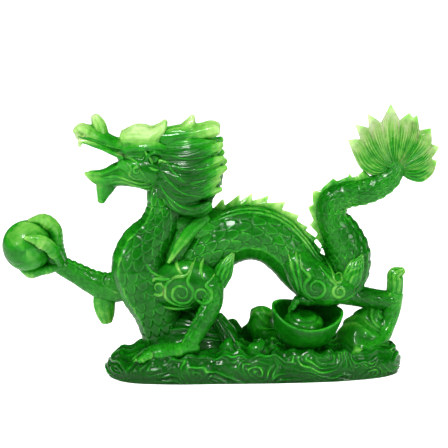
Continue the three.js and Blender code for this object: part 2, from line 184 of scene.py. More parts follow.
def scales(pitch, columns, lift, belly=math.pi, plate=4.6, fade=1.0, step_height=0.45):
    """Overlapping scales that point along the form, with plates across its belly.

    belly is the angle from the back at which the plates begin.
    """

    def relief(s, angle, length):
        turn = angle / (2 * math.pi) * columns
        row = np.floor(s / pitch)
        under_x = s / pitch - row
        over_x = under_x + 1
        over_y = turn - 0.5 * ((row - 1) % 2)
        over_y = np.abs(over_y - np.round(over_y))
        half = 0.5 * np.sqrt(np.clip(1 - np.clip((over_x - 0.85) / 1.05, 0, 1) ** 2, 0, 1))
        edge = half - over_y
        over = smoothstep(-0.02, 0.05, edge)
        height = over * (0.35 + 0.65 * over_x / 1.9) + (1 - over) * (0.1 + 0.25 * under_x)
        ring = bell(edge - 0.06, 0.05)
        cut = bell(edge + 0.05, 0.05)
        out = lift * (height - 0.6 + 0.4 * ring - 0.5 * cut)
        # The tone is a painted highlight on each scale's raised rim and painted shade in the cut below it.
        tone = fade * (0.4 * ring - 0.45 * cut - 0.04)
        from_back = np.abs((angle + math.pi) % (2 * math.pi) - math.pi) + 0 * s
        share = (s / plate) % 1
        step = smoothstep(0, 0.75, share) * (1 - smoothstep(0.86, 1, share))
        plates = smoothstep(belly - 0.06, belly + 0.06, from_back)
        seam = bell(from_back - belly, 0.07) * (belly < 3.1)
        out = out * (1 - plates) + plates * step_height * (step - 0.8) + 0.45 * seam
        # On the plates the tone is a painted highlight on the raised part of each step and on the seam, and
        # painted shade where the step drops.
        tone = tone * (1 - plates) + plates * step_height * (0.6 * step - 0.3) + 0.3 * seam
        return out, tone

    return relief


def strands(count, depth=0.5, sway=0.0, pale=0.45):
    """Grooved locks of hair along a form. They are spaced evenly over its broad faces and sway a little."""

    def relief(s, angle, length):
        across = np.cos(angle) + sway * np.sin(s / length * 4.2)
        ridge = np.abs(np.sin(across * count * math.pi / 2)) ** 0.8
        fine = np.abs(np.sin(across * count * math.pi * 1.5 + 0.4)) ** 6
        ends = smoothstep(0, 0.12, s / length)
        out = depth * (ridge - 0.8) + 0.22 * depth * fine
        # The tone is a painted highlight along the ridges and fine lines, and painted shade in the grooves.
        return out * ends, pale * (0.8 * ridge + 0.7 * fine - 0.95) * ends

    return relief


def knuckles(places, height, width):
    """Raised joints across a toe, each a share of the way along it, with a few small folds of skin."""

    def relief(s, angle, length):
        bumps = sum(bell(s - place * length, width) for place in places)
        folds = np.sin(s * 2.6) * np.exp(-((np.sin(s / length * math.pi) - 0.7) ** 2) * 6)
        upper = 0.5 + 0.5 * np.cos(angle)
        # The tone is a painted highlight on the top of each joint and fold: paler on the high side, as if
        # lit from above.
        return height * bumps * upper + 0.1 * folds, 0.35 * bumps * upper + 0.12 * folds * upper

    return relief


def waves(count=3.0, depth=0.7, lean=0.35, swirl=2.0, pale=0.7):
    """Flowing bands of cloud that wind round a mound."""

    def relief(s, angle, length):
        phase = s * count / 4 + swirl * np.sin(angle * 2 + s * 0.16) + lean * np.cos(angle * 3 + 1.3)
        ridge = 1 - np.abs(np.sin(phase)) ** 0.7
        fine = 0.25 * np.sin(phase * 3 + angle * 2)
        # The tone is a painted highlight on the crests of the bands and painted shade in the troughs between
        # them.
        return depth * (ridge + fine - 0.3), pale * (ridge - 0.5) + 0.2 * fine

    return relief


def smooth_bumps(depth=0.25):
    """The slight unevenness of a hand-carved surface."""

    def relief(s, angle, length):
        bump = np.sin(s * 0.31 + 2 * angle) + np.sin(s * 0.17 - 3 * angle + 1) + np.sin(s * 0.53 + angle)
        return depth * bump / 3, 0.05 * bump

    return relief


# ---- jade ----

GREENS = [
    # level, colour: from the deepest cuts and painted shade, through the body of the stone, to thin, clear
    # edges
    (-0.80, (0.0004, 0.075, 0.0004)),
    (-0.30, (0.0012, 0.110, 0.0010)),
    (0.00, (0.0040, 0.170, 0.0030)),
    (0.35, (0.0170, 0.320, 0.0080)),
    (0.70, (0.1900, 0.520, 0.0750)),
    (0.95, (0.3600, 0.640, 0.1700)),
    (1.25, (0.6200, 0.800, 0.3900)),
]
SLOT_LEVELS = {"jade_deep": -0.06, "jade_mid": 0.16, "jade_pale": 0.42}


def feed(tree, made, inputs):
    """Sets a node's inputs to numbers, or links them to other nodes' outputs."""
    for name, value in inputs.items():
        if isinstance(value, bpy.types.NodeSocket):
            tree.links.new(value, made.inputs[name])
        else:
            made.inputs[name].default_value = value


def node(tree, kind, inputs=None, **settings):
    made = tree.nodes.new(kind)
    for name, value in settings.items():
        setattr(made, name, value)
    feed(tree, made, inputs or {})
    return made


def noise(tree, scale, detail=3.0, rough=0.5, warp=0.0):
    place = node(tree, "ShaderNodeTexCoord").outputs["Object"]
    inputs = {"Vector": place, "Scale": scale, "Detail": detail, "Roughness": rough, "Distortion": warp}
    return node(tree, "ShaderNodeTexNoise", inputs).outputs["Fac"]


def remap(tree, value, low, high, to_low, to_high):
    inputs = {"Value": value, "From Min": low, "From Max": high, "To Min": to_low, "To Max": to_high}
    return node(tree, "ShaderNodeMapRange", inputs).outputs["Result"]


def maths(tree, operation, a, b):
    return node(tree, "ShaderNodeMath", {0: a, 1: b}, operation=operation).outputs[0]


def ramp(tree, level, stops):
    """Colours between stops, each a level and a linear colour."""
    low, high = stops[0][0], stops[-1][0]
    made = node(tree, "ShaderNodeValToRGB", {"Fac": remap(tree, level, low, high, 0, 1)})
    elements = made.color_ramp.elements
    elements[0].color = (*stops[0][1], 1)
    elements[1].color = (*stops[-1][1], 1)
    for at, colour in stops[1:-1]:
        elements.new((at - low) / (high - low)).color = (*colour, 1)
    return made.outputs["Color"]


def jade(slot):
    """Polished translucent stone: cloudy veins, pale thin edges, painted shade in cuts and recesses and a
    slightly uneven gloss.
    """
    material = bpy.data.materials.new(slot)
    material.use_nodes = True
    tree = material.node_tree
    tree.nodes.clear()
    tone = node(tree, "ShaderNodeAttribute", attribute_name="tone").outputs["Fac"]
    clouds = noise(tree, 34, 4, 0.55, 0.6)
    veins = noise(tree, 130, 5, 0.6, 1.6)
    drift = remap(tree, clouds, 0.3, 0.7, -0.28, 0.34)
    streak = remap(tree, veins, 0.35, 0.7, -0.12, 0.16)
    # Painted shade: ambient occlusion darkens the colour in recesses and where parts meet.
    recess = node(tree, "ShaderNodeAmbientOcclusion", {"Distance": 9 * MM}, samples=6).outputs["AO"]
    shade = remap(tree, recess, 0.85, 0.15, 0.0, -0.6)
    level = maths(tree, "ADD", maths(tree, "ADD", tone, drift), maths(tree, "ADD", streak, shade))
    colour = ramp(tree, maths(tree, "ADD", level, SLOT_LEVELS[slot]), GREENS)
    grain = noise(tree, 420, 3)
    uneven = maths(tree, "ADD", grain, clouds)
    bump = node(tree, "ShaderNodeBump", {"Height": uneven, "Strength": 0.3, "Distance": 0.3 * MM})
    inputs = {
        "Base Color": colour,
        "Roughness": remap(tree, grain, 0.3, 0.75, 0.22, 0.38),
        "IOR": 1.45,
        "Specular IOR Level": 0.22,
        "Subsurface Weight": 1.0,
        "Subsurface Radius": (0.75, 1.0, 0.65),
        "Subsurface Scale": 2.4 * MM,
        "Coat Weight": 0.4,
        "Coat Roughness": 0.05,
        "Normal": bump.outputs["Normal"],
    }
    surface = node(tree, "ShaderNodeBsdfPrincipled", inputs)
    node(tree, "ShaderNodeOutputMaterial", {"Surface": surface.outputs["BSDF"]})
    return material


MATERIALS = {slot: jade(slot) for slot in SLOT_LEVELS}


# ---- pieces ----


def set_tones(mesh, tones):
    if "tone" in mesh.attributes:
        mesh.attributes.remove(mesh.attributes["tone"])
    mesh.attributes.new("tone", "FLOAT", "POINT").data.foreach_set("value", tones)


def mesh_object(name, parts):
    """One object from several meshes in millimetres, each (points, faces, tones)."""
    points, faces, tones = [], [], []
    start = 0
    for part_points, part_faces, part_tones in parts:
        points.append(part_points)
        faces.extend([[start + i for i in face] for face in part_faces])
        tones.append(part_tones)
        start += len(part_points)
    mesh = bpy.data.meshes.new(name)
    mesh.from_pydata((np.concatenate(points) * MM).tolist(), [], faces)
    set_tones(mesh, np.concatenate(tones))
    made = bpy.data.objects.new(name, mesh)
    bpy.context.scene.collection.objects.link(made)
    return made


def finish(made, slot, nodes=()):
    """The object takes its jade, rides the figurine and stands for those CAD nodes."""
    made.data.materials.clear()
    made.data.materials.append(MATERIALS[slot])
    made.data.shade_smooth()
    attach(made, "root")
    if nodes:
        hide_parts(*nodes)
    return made


def piece(name, slot, parts, nodes=()):
    return finish(mesh_object(name, parts), slot, nodes)


def form(name, slot, stations, relief, extra=(), **tones):
    """A loft, with any further parts, that stands for the CAD node of the same name."""
    return piece(name, slot, [loft(stations, relief, **tones), *extra], [name])


def melted(name, slot, parts, nodes, voxel, soften, tone_at):
    """Overlapping parts joined into one skin, as the carver leaves them, with their joins softened.

    tone_at gives the tones of the skin's vertices from their places in millimetres.
    """
    made = mesh_object(name, parts)
    remesh = made.modifiers.new("join", "REMESH")
    remesh.mode = "VOXEL"
    remesh.voxel_size = voxel * MM
    relax = made.modifiers.new("soften", "SMOOTH")
    relax.iterations = soften
    relax.factor = 0.5
    evaluated = made.evaluated_get(bpy.context.evaluated_depsgraph_get())
    mesh = bpy.data.meshes.new_from_object(evaluated)
    made.modifiers.clear()
    made.data = mesh
    places = np.empty(3 * len(mesh.vertices))
    mesh.vertices.foreach_get("co", places)
    set_tones(mesh, tone_at(places.reshape(-1, 3) / MM))
    return finish(made, slot, nodes)


def skin_of(*objects):
    """The surface of these objects, for laying raised lines on."""
    points, faces = [], []
    for made in objects:
        start = len(points)
        points.extend(vertex.co[:] for vertex in made.data.vertices)
        faces.extend([start + i for i in polygon.vertices] for polygon in made.data.polygons)
    return BVHTree.FromPolygons(points, faces)


def trace(skin, path, side, thick, tone=0.0, sink=0.25):
    """A raised line on a side face, along a smooth path of (x, z), laid on a skin as seen from that side."""
    flat, _ = sampled([(x, 0, z) for x, z in path], 0.9)
    outside = 80  # rays start this far out from the middle plane
    taper = 0.3  # the ends' thickness as a share of the whole
    depths = []
    for x, _, z in flat:
        hit, *_ = skin.ray_cast(Vector((x, side * outside, z)) * MM, Vector((0, -side, 0)))
        if hit is not None:
            depths.append((hit.y / MM * side, x, z))
    if len(depths) < 4:
        return None
    depth = np.array([row[0] for row in depths])
    kernel = np.array([1, 2, 3, 2, 1]) / 9
    depth = np.convolve(np.pad(depth, 2, mode="edge"), kernel, mode="valid")
    share = np.linspace(0, 1, len(depth))
    size = thick * (taper + (1 - taper) * np.minimum(1, np.minimum(share * 5, (1 - share) * 3)))
    stations = [(x, side * (d - sink * t), z, t, 0.9 * t) for d, t, (_, x, z) in zip(depth, size, depths)]
    return loft(stations, step=0.4, tone=tone)


def spiral(x, z, radius, turns, start=0.0, spin=1, tail=()):
    """A path that comes along its tail and winds in round a middle."""
    path = list(tail)
    for t in np.linspace(0, 1, int(9 * turns) + 2):
        angle = math.radians(start) + spin * 2 * math.pi * turns * t
        reach = radius * (1 - 0.72 * t)
        path.append((x + reach * math.cos(angle), z + reach * math.sin(angle)))
    return path


def traces(skin, paths, side, **options):
    return [line for path in paths if (line := trace(skin, path, side, **options)) is not None]


def fin(stations, tips, reach=9.0, thick=1.7, lean=0.4, shift=0.8):
    """A crest of pointed spines along a form's back. tips are the (x, z) of the spines' points."""
    foot = 3.0  # how far it is set into the back
    rows, distance = sampled(stations, 0.5)
    along, high, _ = axes_along(rows[:, :3])
    back = rows[:, [0, 2]] + high[:, [0, 2]] * rows[:, 3:4]
    gaps = np.linalg.norm(np.array(tips)[:, None] - back[None], axis=2)
    heights = gaps.min(axis=1) + 0.9
    teeth = distance[gaps.argmin(axis=1)] - lean * heights + shift
    first, last = teeth[0] - reach, teeth[-1] + 2.5
    s = np.arange(first, last, 0.4)
    ends = np.concatenate([[first], teeth, [last]])
    tops = np.concatenate([heights, heights[-1:]])
    i = np.clip(np.searchsorted(teeth, s), 0, len(teeth))
    share = np.clip((s - ends[i]) / (ends[i + 1] - ends[i]), 0, 1)
    rise = 0.2 + 0.8 * share**1.6
    drop = np.clip(1 - share / 0.16, 0, 1) * (i > 0)
    saw = np.where(i == len(teeth), 1 - share, np.maximum(rise, drop))
    swell = np.minimum(1, (s - first) / reach + 0.1)
    top = 0.7 + (tops[i] - 0.7) * saw * swell

    centre = read_at(s, distance, rows[:, :3])
    tangent = unit(read_at(s, distance, along))
    up = unit(read_at(s, distance, high))
    surface = np.interp(s, distance, rows[:, 3])
    angle = all_round(28)
    lift = np.cos(angle) * (top + foot)[:, None] / 2 + ((top - foot) / 2)[:, None]
    over = np.clip(lift, 0, None)
    half = thick * np.clip(1 - 0.75 * over / heights.mean(), 0.22, 1)
    rings = centre[:, None] + up[:, None] * (surface[:, None] + lift)[..., None]
    rings = rings + tangent[:, None] * (lean * over)[..., None]
    rings = rings - (np.sin(angle) * half)[..., None] * ACROSS
    tones = 0.55 * over / heights.mean() + 0.12 * np.cos(s[:, None] * 2.4) * (over > 0.6)
    return rings_to_mesh(rings, tones, rings[0].mean(axis=0), rings[-1].mean(axis=0))


# ---- trunk ----

NECK = [
    (-24, 0, 104, 8, 9), (-27.4, 0, 92, 10, 9.5), (-28, 0, 83, 9.8, 10.5), (-32, 0, 73, 10.3, 11.5),
    (-38.8, 0, 63, 13.1, 12.5), (-41.5, 0, 53.5, 14.2, 13), (-38.7, 0, 44, 13.9, 12.7),
    (-33.2, 0, 33, 12.9, 12), (-30.8, 0, 24, 11.4, 11), (-28, 0, 14, 11, 11),
]
BODY = [
    (-27, 1, 40, 10, 10), (-18, 1, 48, 12.5, 12), (-7.5, 0.5, 60.5, 13.4, 12.5),
    (3.5, 0, 68.5, 13.9, 13), (14.5, 0, 71, 14, 13), (25, 0, 68, 13.5, 12.5), (33.5, 0, 60.5, 12.6, 12),
    (40.5, 0, 52, 12, 12), (48.5, 0, 46, 12, 12.5), (58, 0, 44, 11, 11.5),
]
# Fills the angle between the neck and the arch.
NAPE = [(-24, 0, 78, 6, 7), (-14, 0, 75, 9, 9.5), (-4, 0, 72.5, 10.5, 10.5), (6, 0, 70, 11, 10.5)]
NAPE_FOOT = [(-24, 0, 50, 8, 8), (-22, 0, 60, 8, 8.6), (-18, 0, 70, 8, 9)]
TAIL = [
    (57, 0, 43, 10, 11), (62, 0, 50, 11.5, 11.5), (63.3, 0, 60, 11.3, 11), (59.7, 0, 70, 9.9, 10),
    (55.1, 0, 78.5, 8, 8.8), (55.6, 0, 86, 7.7, 7.8), (61.8, 0, 89.8, 7, 7), (70.2, 0, 91.2, 6.6, 6.2),
    (78.2, 0, 94.2, 6.3, 5.8), (84.6, 0, 99.3, 5.4, 5.2), (87.8, 0, 105, 3.2, 3.6),
]
# Tips of the spines, from front to rear.
BACK_SPINES = [
    (1, 87.3), (9, 89.4), (16, 90.1), (24, 88.6), (33, 85.3), (38.5, 78.7), (42.3, 73.1), (46.5, 67.5),
    (48.6, 62),
]
TAIL_SPINES = [
    (51.5, 64), (47, 69.5), (44.6, 75.6), (43.6, 84.3), (47, 92.9), (56.5, 98), (64, 98.5), (71, 101.5),
]


def add_trunk():
    neck = loft(NECK, scales(5.0, 14, 0.5, belly=2.35, plate=4.4, step_height=0.22))
    piece("neck", "jade_deep", [neck], ["neck", "chest", "belly_plates"])
    nape = [loft(stations, scales(5.4, 14, 0.2, fade=0.5), tone=0.22) for stations in (NAPE, NAPE_FOOT)]
    piece("nape", "jade_deep", nape)
    arch = loft(BODY, scales(5.4, 16, 0.5, belly=2.0, plate=5, step_height=0.12))
    piece("arch", "jade_deep", [arch], ["body_front", "body_rear"])
    tail = loft(TAIL, scales(3.8, 16, 0.4, belly=2.5, plate=4), tip_tone=0.2)
    piece("tail", "jade_deep", [tail], ["tail_lower", "tail_upper"])


def add_back_bands():
    """Two raised bands along either side of the arch, just below its crest."""
    radius = 0.9
    bands = []
    rows, distance = sampled(BODY, 1.5)
    _, high, deep = axes_along(rows[:, :3])
    keep = (distance > 26) & (distance < distance[-1] - 16)
    for side in SIDES:
        for turn in np.radians([24, 35]):
            up = high * (rows[:, 3:4] * math.cos(turn) - 0.4)
            out = side * deep * (rows[:, 4:5] * math.sin(turn))
            centre = rows[:, :3] + up + out
            bands.append(loft([(*p, radius, radius) for p in centre[keep][::3]], tone=0.12))
    piece("back_bands", "jade_mid", bands)


def add_crests():
    piece("back_crest", "jade_pale", [fin(BODY, BACK_SPINES)], ["back_crest"])
    tail_crest = fin(TAIL, TAIL_SPINES, 7, thick=1.4, lean=-0.1, shift=-0.6)
    piece("tail_crest", "jade_pale", [tail_crest], ["tail_crest"])


# ---- legs ----

SHOULDER = [
    (-39.5, -4, 42.5, 3.5, 3), (-33, -5.8, 43.6, 8.5, 6), (-25, -8.2, 45, 12, 7),
    (-15, -10.8, 46.4, 12.6, 7), (-7.5, -13.4, 46.6, 10, 6.4), (-2.5, -15.5, 46, 6.2, 5.4),
]
FOREARM = [
    (-4, -16.6, 47, 5, 4.8), (-4.8, -17.5, 39, 5.2, 5), (-8.6, -18.5, 31, 4.9, 4.6),
    (-12.8, -19.5, 24, 4.4, 4.2), (-16.5, -20.5, 17.5, 4.2, 4.2),
]
FOREPAW = [
    (-13, -20, 17, 3.6, 4), (-22, -21, 15.4, 3.9, 5.5), (-30, -22, 15, 4.1, 6.2),
    (-37, -22.5, 13.5, 3.2, 5.6), (-40.5, -22.5, 12, 1.8, 4.2),
]
ELBOW_TUFT = [
    (-1.5, -15, 47, 3.6, 3), (0.5, -14, 53, 4.6, 3.2), (3, -13, 58, 3.4, 2.6),
    (5.5, -12.5, 62.5, 0.8, 1),
]
REACHING_ARM = [
    (-40, 6, 43.4, 8.2, 7), (-50, 9, 41.8, 8, 6.5), (-58, 10.5, 40.8, 7.7, 6),
    (-66, 10.5, 43.7, 6.3, 5.2), (-73, 10, 47.7, 5.5, 4.6), (-80, 9, 51.6, 4.9, 4.2),
    (-84.5, 8.3, 54.4, 4.2, 3.8),
]
# Behind the neck, where the reaching arm grows out of the trunk.
RIGHT_SHOULDER = [
    (-51, 8.5, 42, 7, 6), (-43, 8, 43.6, 9.4, 8), (-34, 6.6, 45.6, 10.4, 8.6), (-25, 4.6, 48, 8, 7.6),
]
RIGHT_SHOULDER_CURLS = [
    spiral(-43, 45, 4.6, 1.4, 110, 1, [(-31, 53), (-36, 50.5)]),
    spiral(-32, 45, 4.8, 1.4, 70, -1, [(-25, 57), (-28, 52)]),
    [(-50, 39), (-43, 36.4), (-35, 36.6), (-28, 40)],
]
REACHING_ARM_CURLS = [
    spiral(-58, 44.5, 3.6, 1.2, 0, 1, [(-48, 48), (-51, 47)]),
    [(-69, 50.5), (-65, 49.5), (-62, 47.5)],
    [(-55, 41), (-50, 38), (-46, 37)],
]
RIGHT_PALM = [(-79.5, 8.4, 51.4, 3.6, 3.6), (-83.6, 8.4, 55.4, 5, 4.6), (-86, 8.4, 60, 4.6, 5)]
REACHING_TUFT = [
    (-59.2, 10.5, 40, 5.2, 3.2), (-59.9, 10.5, 32.5, 5.7, 3.6), (-59.2, 10.5, 26, 4.4, 3),
    (-58.8, 10.5, 22.7, 3, 2.2),
]
PEARL = (-98, 8, 62.6)
PEARL_RADIUS = 13
TALONS = {
    "upper": [
        (-81, 8, 54.5, 3.2, 4), (-82.5, 8, 62, 2.8, 4.8), (-84.6, 8, 71.2, 3.6, 5.2),
        (-90, 8, 75.6, 3.4, 5), (-97.5, 8, 75.4, 1, 2.4),
    ],
    "lower": [
        (-81, 8, 52.8, 3, 4), (-88, 8, 51.2, 2.7, 4.6), (-97, 8, 49.4, 3, 4.4),
        (-103.5, 8, 52.4, 1.1, 2),
    ],
    "front": [
        (-81.5, 5, 55, 2.8, 3), (-84.5, -1.5, 62, 3.2, 2.6), (-90, -4.6, 67, 3.2, 2.4),
        (-98, -5.2, 69, 1, 1.4),
    ],
}
TALONS["back"] = [(x, 2 * PEARL[1] - y, z, *sizes) for x, y, z, *sizes in TALONS["front"]]
THIGH = [
    (36, -8, 58, 7, 6), (43, -12, 50.5, 9.8, 6.8), (50, -13.5, 46, 9.2, 7), (58, -13, 44, 7, 6),
    (63.5, -12, 43.5, 4.8, 4.6),
]
SHANK = [
    (62, -10, 43, 4.2, 5), (54, -10.4, 40.8, 4.4, 5.4), (46, -10.6, 39.8, 3.6, 5),
    (39.5, -11, 39.2, 2.7, 4.6), (36, -11.4, 37.8, 1.5, 3.6),
]
HOCK_TUFT = [
    (61, -11.5, 43, 3.2, 3.2), (63.5, -11.5, 49, 5.2, 3.4), (66.5, -11, 55.5, 4.2, 2.8),
    (69.5, -10, 61, 0.8, 1),
]
REAR_THIGH = [
    (56, 5, 39.5, 6, 6.5), (66, 8, 37.2, 5.5, 5.6), (74, 8.5, 35.5, 5.3, 5.2), (82, 8, 34.4, 5.2, 5),
    (87, 8, 35, 4.6, 4.8),
]
REAR_SHANK = [
    (87, 8, 37.5, 4.9, 4.6), (86, 7.5, 30, 4.7, 4.4), (83.4, 6, 22.5, 4.6, 4.2), (80, 1, 16, 4.2, 4.4),
    (73.5, -5, 13, 3.4, 5.2), (67, -10, 11, 1.6, 4.2),
]
REAR_TUFT = [
    (87.4, 8, 38, 4.2, 4), (87.7, 8, 44.5, 4.2, 3.8), (87.8, 8, 47.6, 4, 3.4), (91.6, 8, 50, 1.8, 1.9),
]


def claw(x, y, z, length, drop, width):
    """A curved claw that points forwards and down."""
    stations = []
    for t in (0, 0.33, 0.66, 1):
        radius = width * (1 - 0.85 * t)
        stations.append((x - length * t, y, z + 0.5 * math.sin(2.2 * t) - drop * t * t, radius, radius))
    return loft(stations, step=0.4, tone=0.45)


def toes(x, y, z, length, spread, thick, drop):
    """Four toes with swollen joints, fanned across a paw, each with its claw."""
    parts = []
    for place in (0, 1 / 3, 2 / 3, 1):
        side = (place - 0.5) * 2
        reach = length * (1 - 0.12 * abs(side))
        out = y + side * spread
        stations = [
            (x, y + side * spread * 0.55, z, thick, thick * 0.95),
            (x - reach * 0.35, out, z + thick * 0.45, thick * 1.05, thick),
            (x - reach * 0.75, out, z - drop * 0.35, thick * 0.85, thick * 0.85),
            (x - reach, out, z - drop * 0.75, thick * 0.7, thick * 0.7),
        ]
        parts.append(loft(stations, knuckles((0.35, 0.78), 0.5, 1.6), step=0.45, tone=0.15))
        parts.append(claw(x - reach, out, z - drop * 0.7, length * 0.3, drop * 0.45, thick * 0.55))
    return parts


SHOULDER_CURLS = [
    spiral(-31.5, 45, 4.6, 1.4, 110, 1, [(-20, 52), (-25, 50)]),
    spiral(-20, 43, 6.4, 1.6, 60, -1, [(-13, 60), (-15.5, 54)]),
    spiral(-9.6, 43, 5.2, 1.5, 70, -1, [(-3.6, 53), (-6, 50)]),
    [(-14.6, 58), (-17.4, 52.5), (-23, 51), (-27.5, 47), (-28, 41), (-24, 37.5), (-17, 36.6), (-13.5, 40)],
    [(-38, 60), (-36.5, 55), (-33, 51.5), (-28, 50.5)],
    [(-22, 63), (-22.5, 57), (-19, 51.5)],
    [(-36, 38), (-30, 35.5), (-22, 34.5), (-14, 36)],
    [(-9, 60), (-10.5, 55), (-9, 50.5)],
]


def shaded_below(high, low, tone):
    """A tone of painted shade for the part of a form that turns under: darker from one height down to
    another.
    """
    return lambda places: tone * (1 - smoothstep(low, high, places[:, 2]))


def add_left_foreleg():
    shoulder = melted("left_shoulder", "jade_deep", [loft(SHOULDER, smooth_bumps(0.5))], ["left_shoulder"],
                      0.5, 3, shaded_below(44, 34, -0.35))
    forearm = form("left_forearm", "jade_mid", FOREARM, scales(3.4, 12, 0.16, belly=2.6, plate=3, fade=0.6))
    # "neck" is the CAD's own mass: it is smooth, where the visual one ("neck.001") has scales.
    skin = skin_of(bpy.data.objects["neck"], bpy.data.objects["arch"], shoulder, forearm)
    piece("left_shoulder_curls", "jade_mid", traces(skin, SHOULDER_CURLS, LEFT, thick=0.95, tone=0.24))
    form("left_elbow_tuft", "jade_mid", ELBOW_TUFT, strands(4, 0.5, 0.2), tip_tone=0.35)
    claws = toes(-33, -22.5, 13.5, 9, 4.6, 2.0, 2.6)
    form("left_forepaw", "jade_mid", FOREPAW, knuckles((0.3, 0.62), 0.5, 3), claws, tone=-0.02)


def add_right_foreleg():
    arm = [loft(REACHING_ARM, scales(3.4, 14, 0.18, belly=2.5, plate=3.4, fade=0.6), tone=0.12),
           loft(RIGHT_SHOULDER, smooth_bumps(0.5))]
    made = piece("right_arm", "jade_mid", arm, ["right_upper_arm", "right_forearm"])
    tuft_hair = strands(3, 0.2, 0.15, 0.2)
    form("right_elbow_tuft", "jade_mid", REACHING_TUFT, tuft_hair, tone=0.2, tip_tone=0.3)
    lines = traces(skin_of(made), REACHING_ARM_CURLS, LEFT, thick=0.7, tone=0.2)
    lines += traces(skin_of(made), RIGHT_SHOULDER_CURLS, RIGHT, thick=0.9, tone=0.2)
    piece("right_arm_curls", "jade_mid", lines)
    piece("right_palm", "jade_mid", [loft(RIGHT_PALM, smooth_bumps(), tone=0.15)])
    for place, stations in TALONS.items():
        joints = knuckles((0.32, 0.68), 0.6, 2.2)
        form("right_talon_" + place, "jade_mid", stations, joints, tone=0.08, tip_tone=0.35)


def add_pearl():
    """A polished ball with one slow swirl of flame cut round it."""
    points, faces, _ = ball(PEARL, (PEARL_RADIUS,) * 3, 48)
    offset = points - np.array(PEARL)
    swirl = np.sin(np.arctan2(offset[:, 2], offset[:, 0]) * 2 + offset[:, 1] / PEARL_RADIUS * 3.2)
    out = -0.45 * bell(swirl, 0.22)
    points = points + unit(offset) * out[:, None]
    piece("pearl", "jade_mid", [(points, faces, 0.18 * swirl + 0.12)], ["pearl"])


HIP_CURLS = [
    spiral(46.5, 46.5, 6.2, 1.5, 120, 1, [(38.5, 62), (39.5, 56)]),
    spiral(58, 44.5, 3.6, 1.3, 120, 1, [(48, 57), (53, 51)]),
    spiral(57.5, 51, 2.8, 1.2, 160, 1, [(50, 60), (53, 56)]),
    [(33, 62), (35, 55), (37.5, 47), (38.5, 40)],
    [(36.5, 63), (38, 54), (40.5, 44), (46, 38.5)],
    [(60, 40), (64, 42), (68, 45)],
]


def add_hind_legs():
    thigh = form("left_thigh", "jade_deep", THIGH, scales(4.6, 12, 0.25, fade=0.4), tone=0.05)
    skin = skin_of(thigh, bpy.data.objects["arch"], bpy.data.objects["tail"])
    for side, name in SIDES.items():
        piece("hip_curls_" + name, "jade_mid", traces(skin, HIP_CURLS, side, thick=0.9, tone=0.2))
    left_claws = toes(39, -11.4, 38.8, 4.8, 3.4, 1.2, 5.5)
    right_claws = toes(70, -8.5, 12, 7, 4.4, 1.9, 3)
    form("left_shank", "jade_deep", SHANK, knuckles((0.4, 0.75), 0.5, 2.4), left_claws)
    form("left_hock_tuft", "jade_mid", HOCK_TUFT, strands(5, 0.55, 0.25), tip_tone=0.35)
    form("right_thigh", "jade_mid", REAR_THIGH, scales(3.8, 12, 0.2, fade=0.5))
    form("right_shank", "jade_mid", REAR_SHANK, scales(3.8, 12, 0.18, fade=0.4), right_claws, tone=0.15)
    form("right_hock_tuft", "jade_mid", REAR_TUFT, strands(3, 0.4, 0.2), tone=0.15, tip_tone=0.3)


# ---- head ----

SKULL = [
    (-50, 0, 111, 4.8, 6.6), (-42, 0, 111, 7.5, 8.5), (-34, 0, 109, 10.5, 10), (-25, 0, 107, 11, 10),
    (-18, 0, 106, 8.5, 8.5),
]
SNOUT = [
    (-44, 0, 112.6, 5, 7), (-54, 0, 115.6, 3.8, 6.4), (-61, 0, 118.8, 4.2, 6.2),
    (-67, 0, 120.8, 4.6, 6.2), (-70.8, 0, 121.4, 3.9, 5),
]
NOSE_CURL = [(-60, 0, 119, 4.2, 4.6), (-61.2, 0, 125, 3.7, 4), (-62.8, 0, 129.2, 2.2, 2.8)]
LOWER_JAW = [
    (-31, 0, 98, 7.2, 8.8), (-42, 0, 100, 6.5, 7.8), (-50, 0, 100.6, 6.3, 6.6),
    (-57, 0, 98.6, 4.9, 5.6), (-62.5, 0, 98.4, 3.2, 4.6), (-68.2, 0, 100.8, 0.8, 1.8),
]
BEARD = [(-56.8, 0, 98, 6, 3.6), (-58.6, 0, 92.5, 4.4, 3.2), (-60.4, 0, 86.6, 2, 2)]
CHEEK = [
    (-50, -5, 106, 2.6, 3), (-43, -7.6, 104.5, 4.6, 3.4), (-35, -9, 102.5, 5.4, 3.4),
    (-27, -9, 100, 5, 3.2),
]
BROW = [
    (-48.6, -4, 118.4, 3.8, 3.6), (-42.5, -4.6, 119.6, 5.2, 4.4), (-35.5, -5.2, 119.4, 5, 4.6),
    (-30.5, -5.6, 122.6, 3.2, 3.2), (-28, -5.8, 126.4, 1, 1.4),
]
BROW_RIDGE = [
    (-48, -5.6, 113, 1.4, 1.8), (-41, -7.4, 114.6, 2.6, 2.4), (-33, -8.2, 114.8, 3, 2.4),
    (-26.5, -8.6, 112, 2.2, 2), (-24, -8.8, 107.6, 0.8, 1),
]
HORN = [
    (-29, -4.6, 118.2, 5, 4.4), (-20, -5.6, 119.8, 4.8, 4), (-11, -6.6, 121.4, 3.8, 3.4),
    (-4.6, -7.6, 123, 3.5, 3), (-2, -8, 123.2, 2.4, 2.2),
]
PRONG = [(-18, -5.8, 121.5, 4.4, 3.2), (-15.6, -6, 126, 2.8, 2.4), (-14.6, -6.2, 128.8, 1.3, 1.4)]
EAR = [(-30.5, -10.6, 108.5, 1.2, 1.6), (-26.5, -12, 106.8, 2, 1.5), (-22, -12.4, 103.4, 0.6, 0.8)]
NOSTRIL = [(-66, -5.8, 122, 1.6, 1.6), (-70, -5.4, 123.6, 1.9, 1.8), (-72.6, -3.4, 122.2, 1.5, 1.6)]
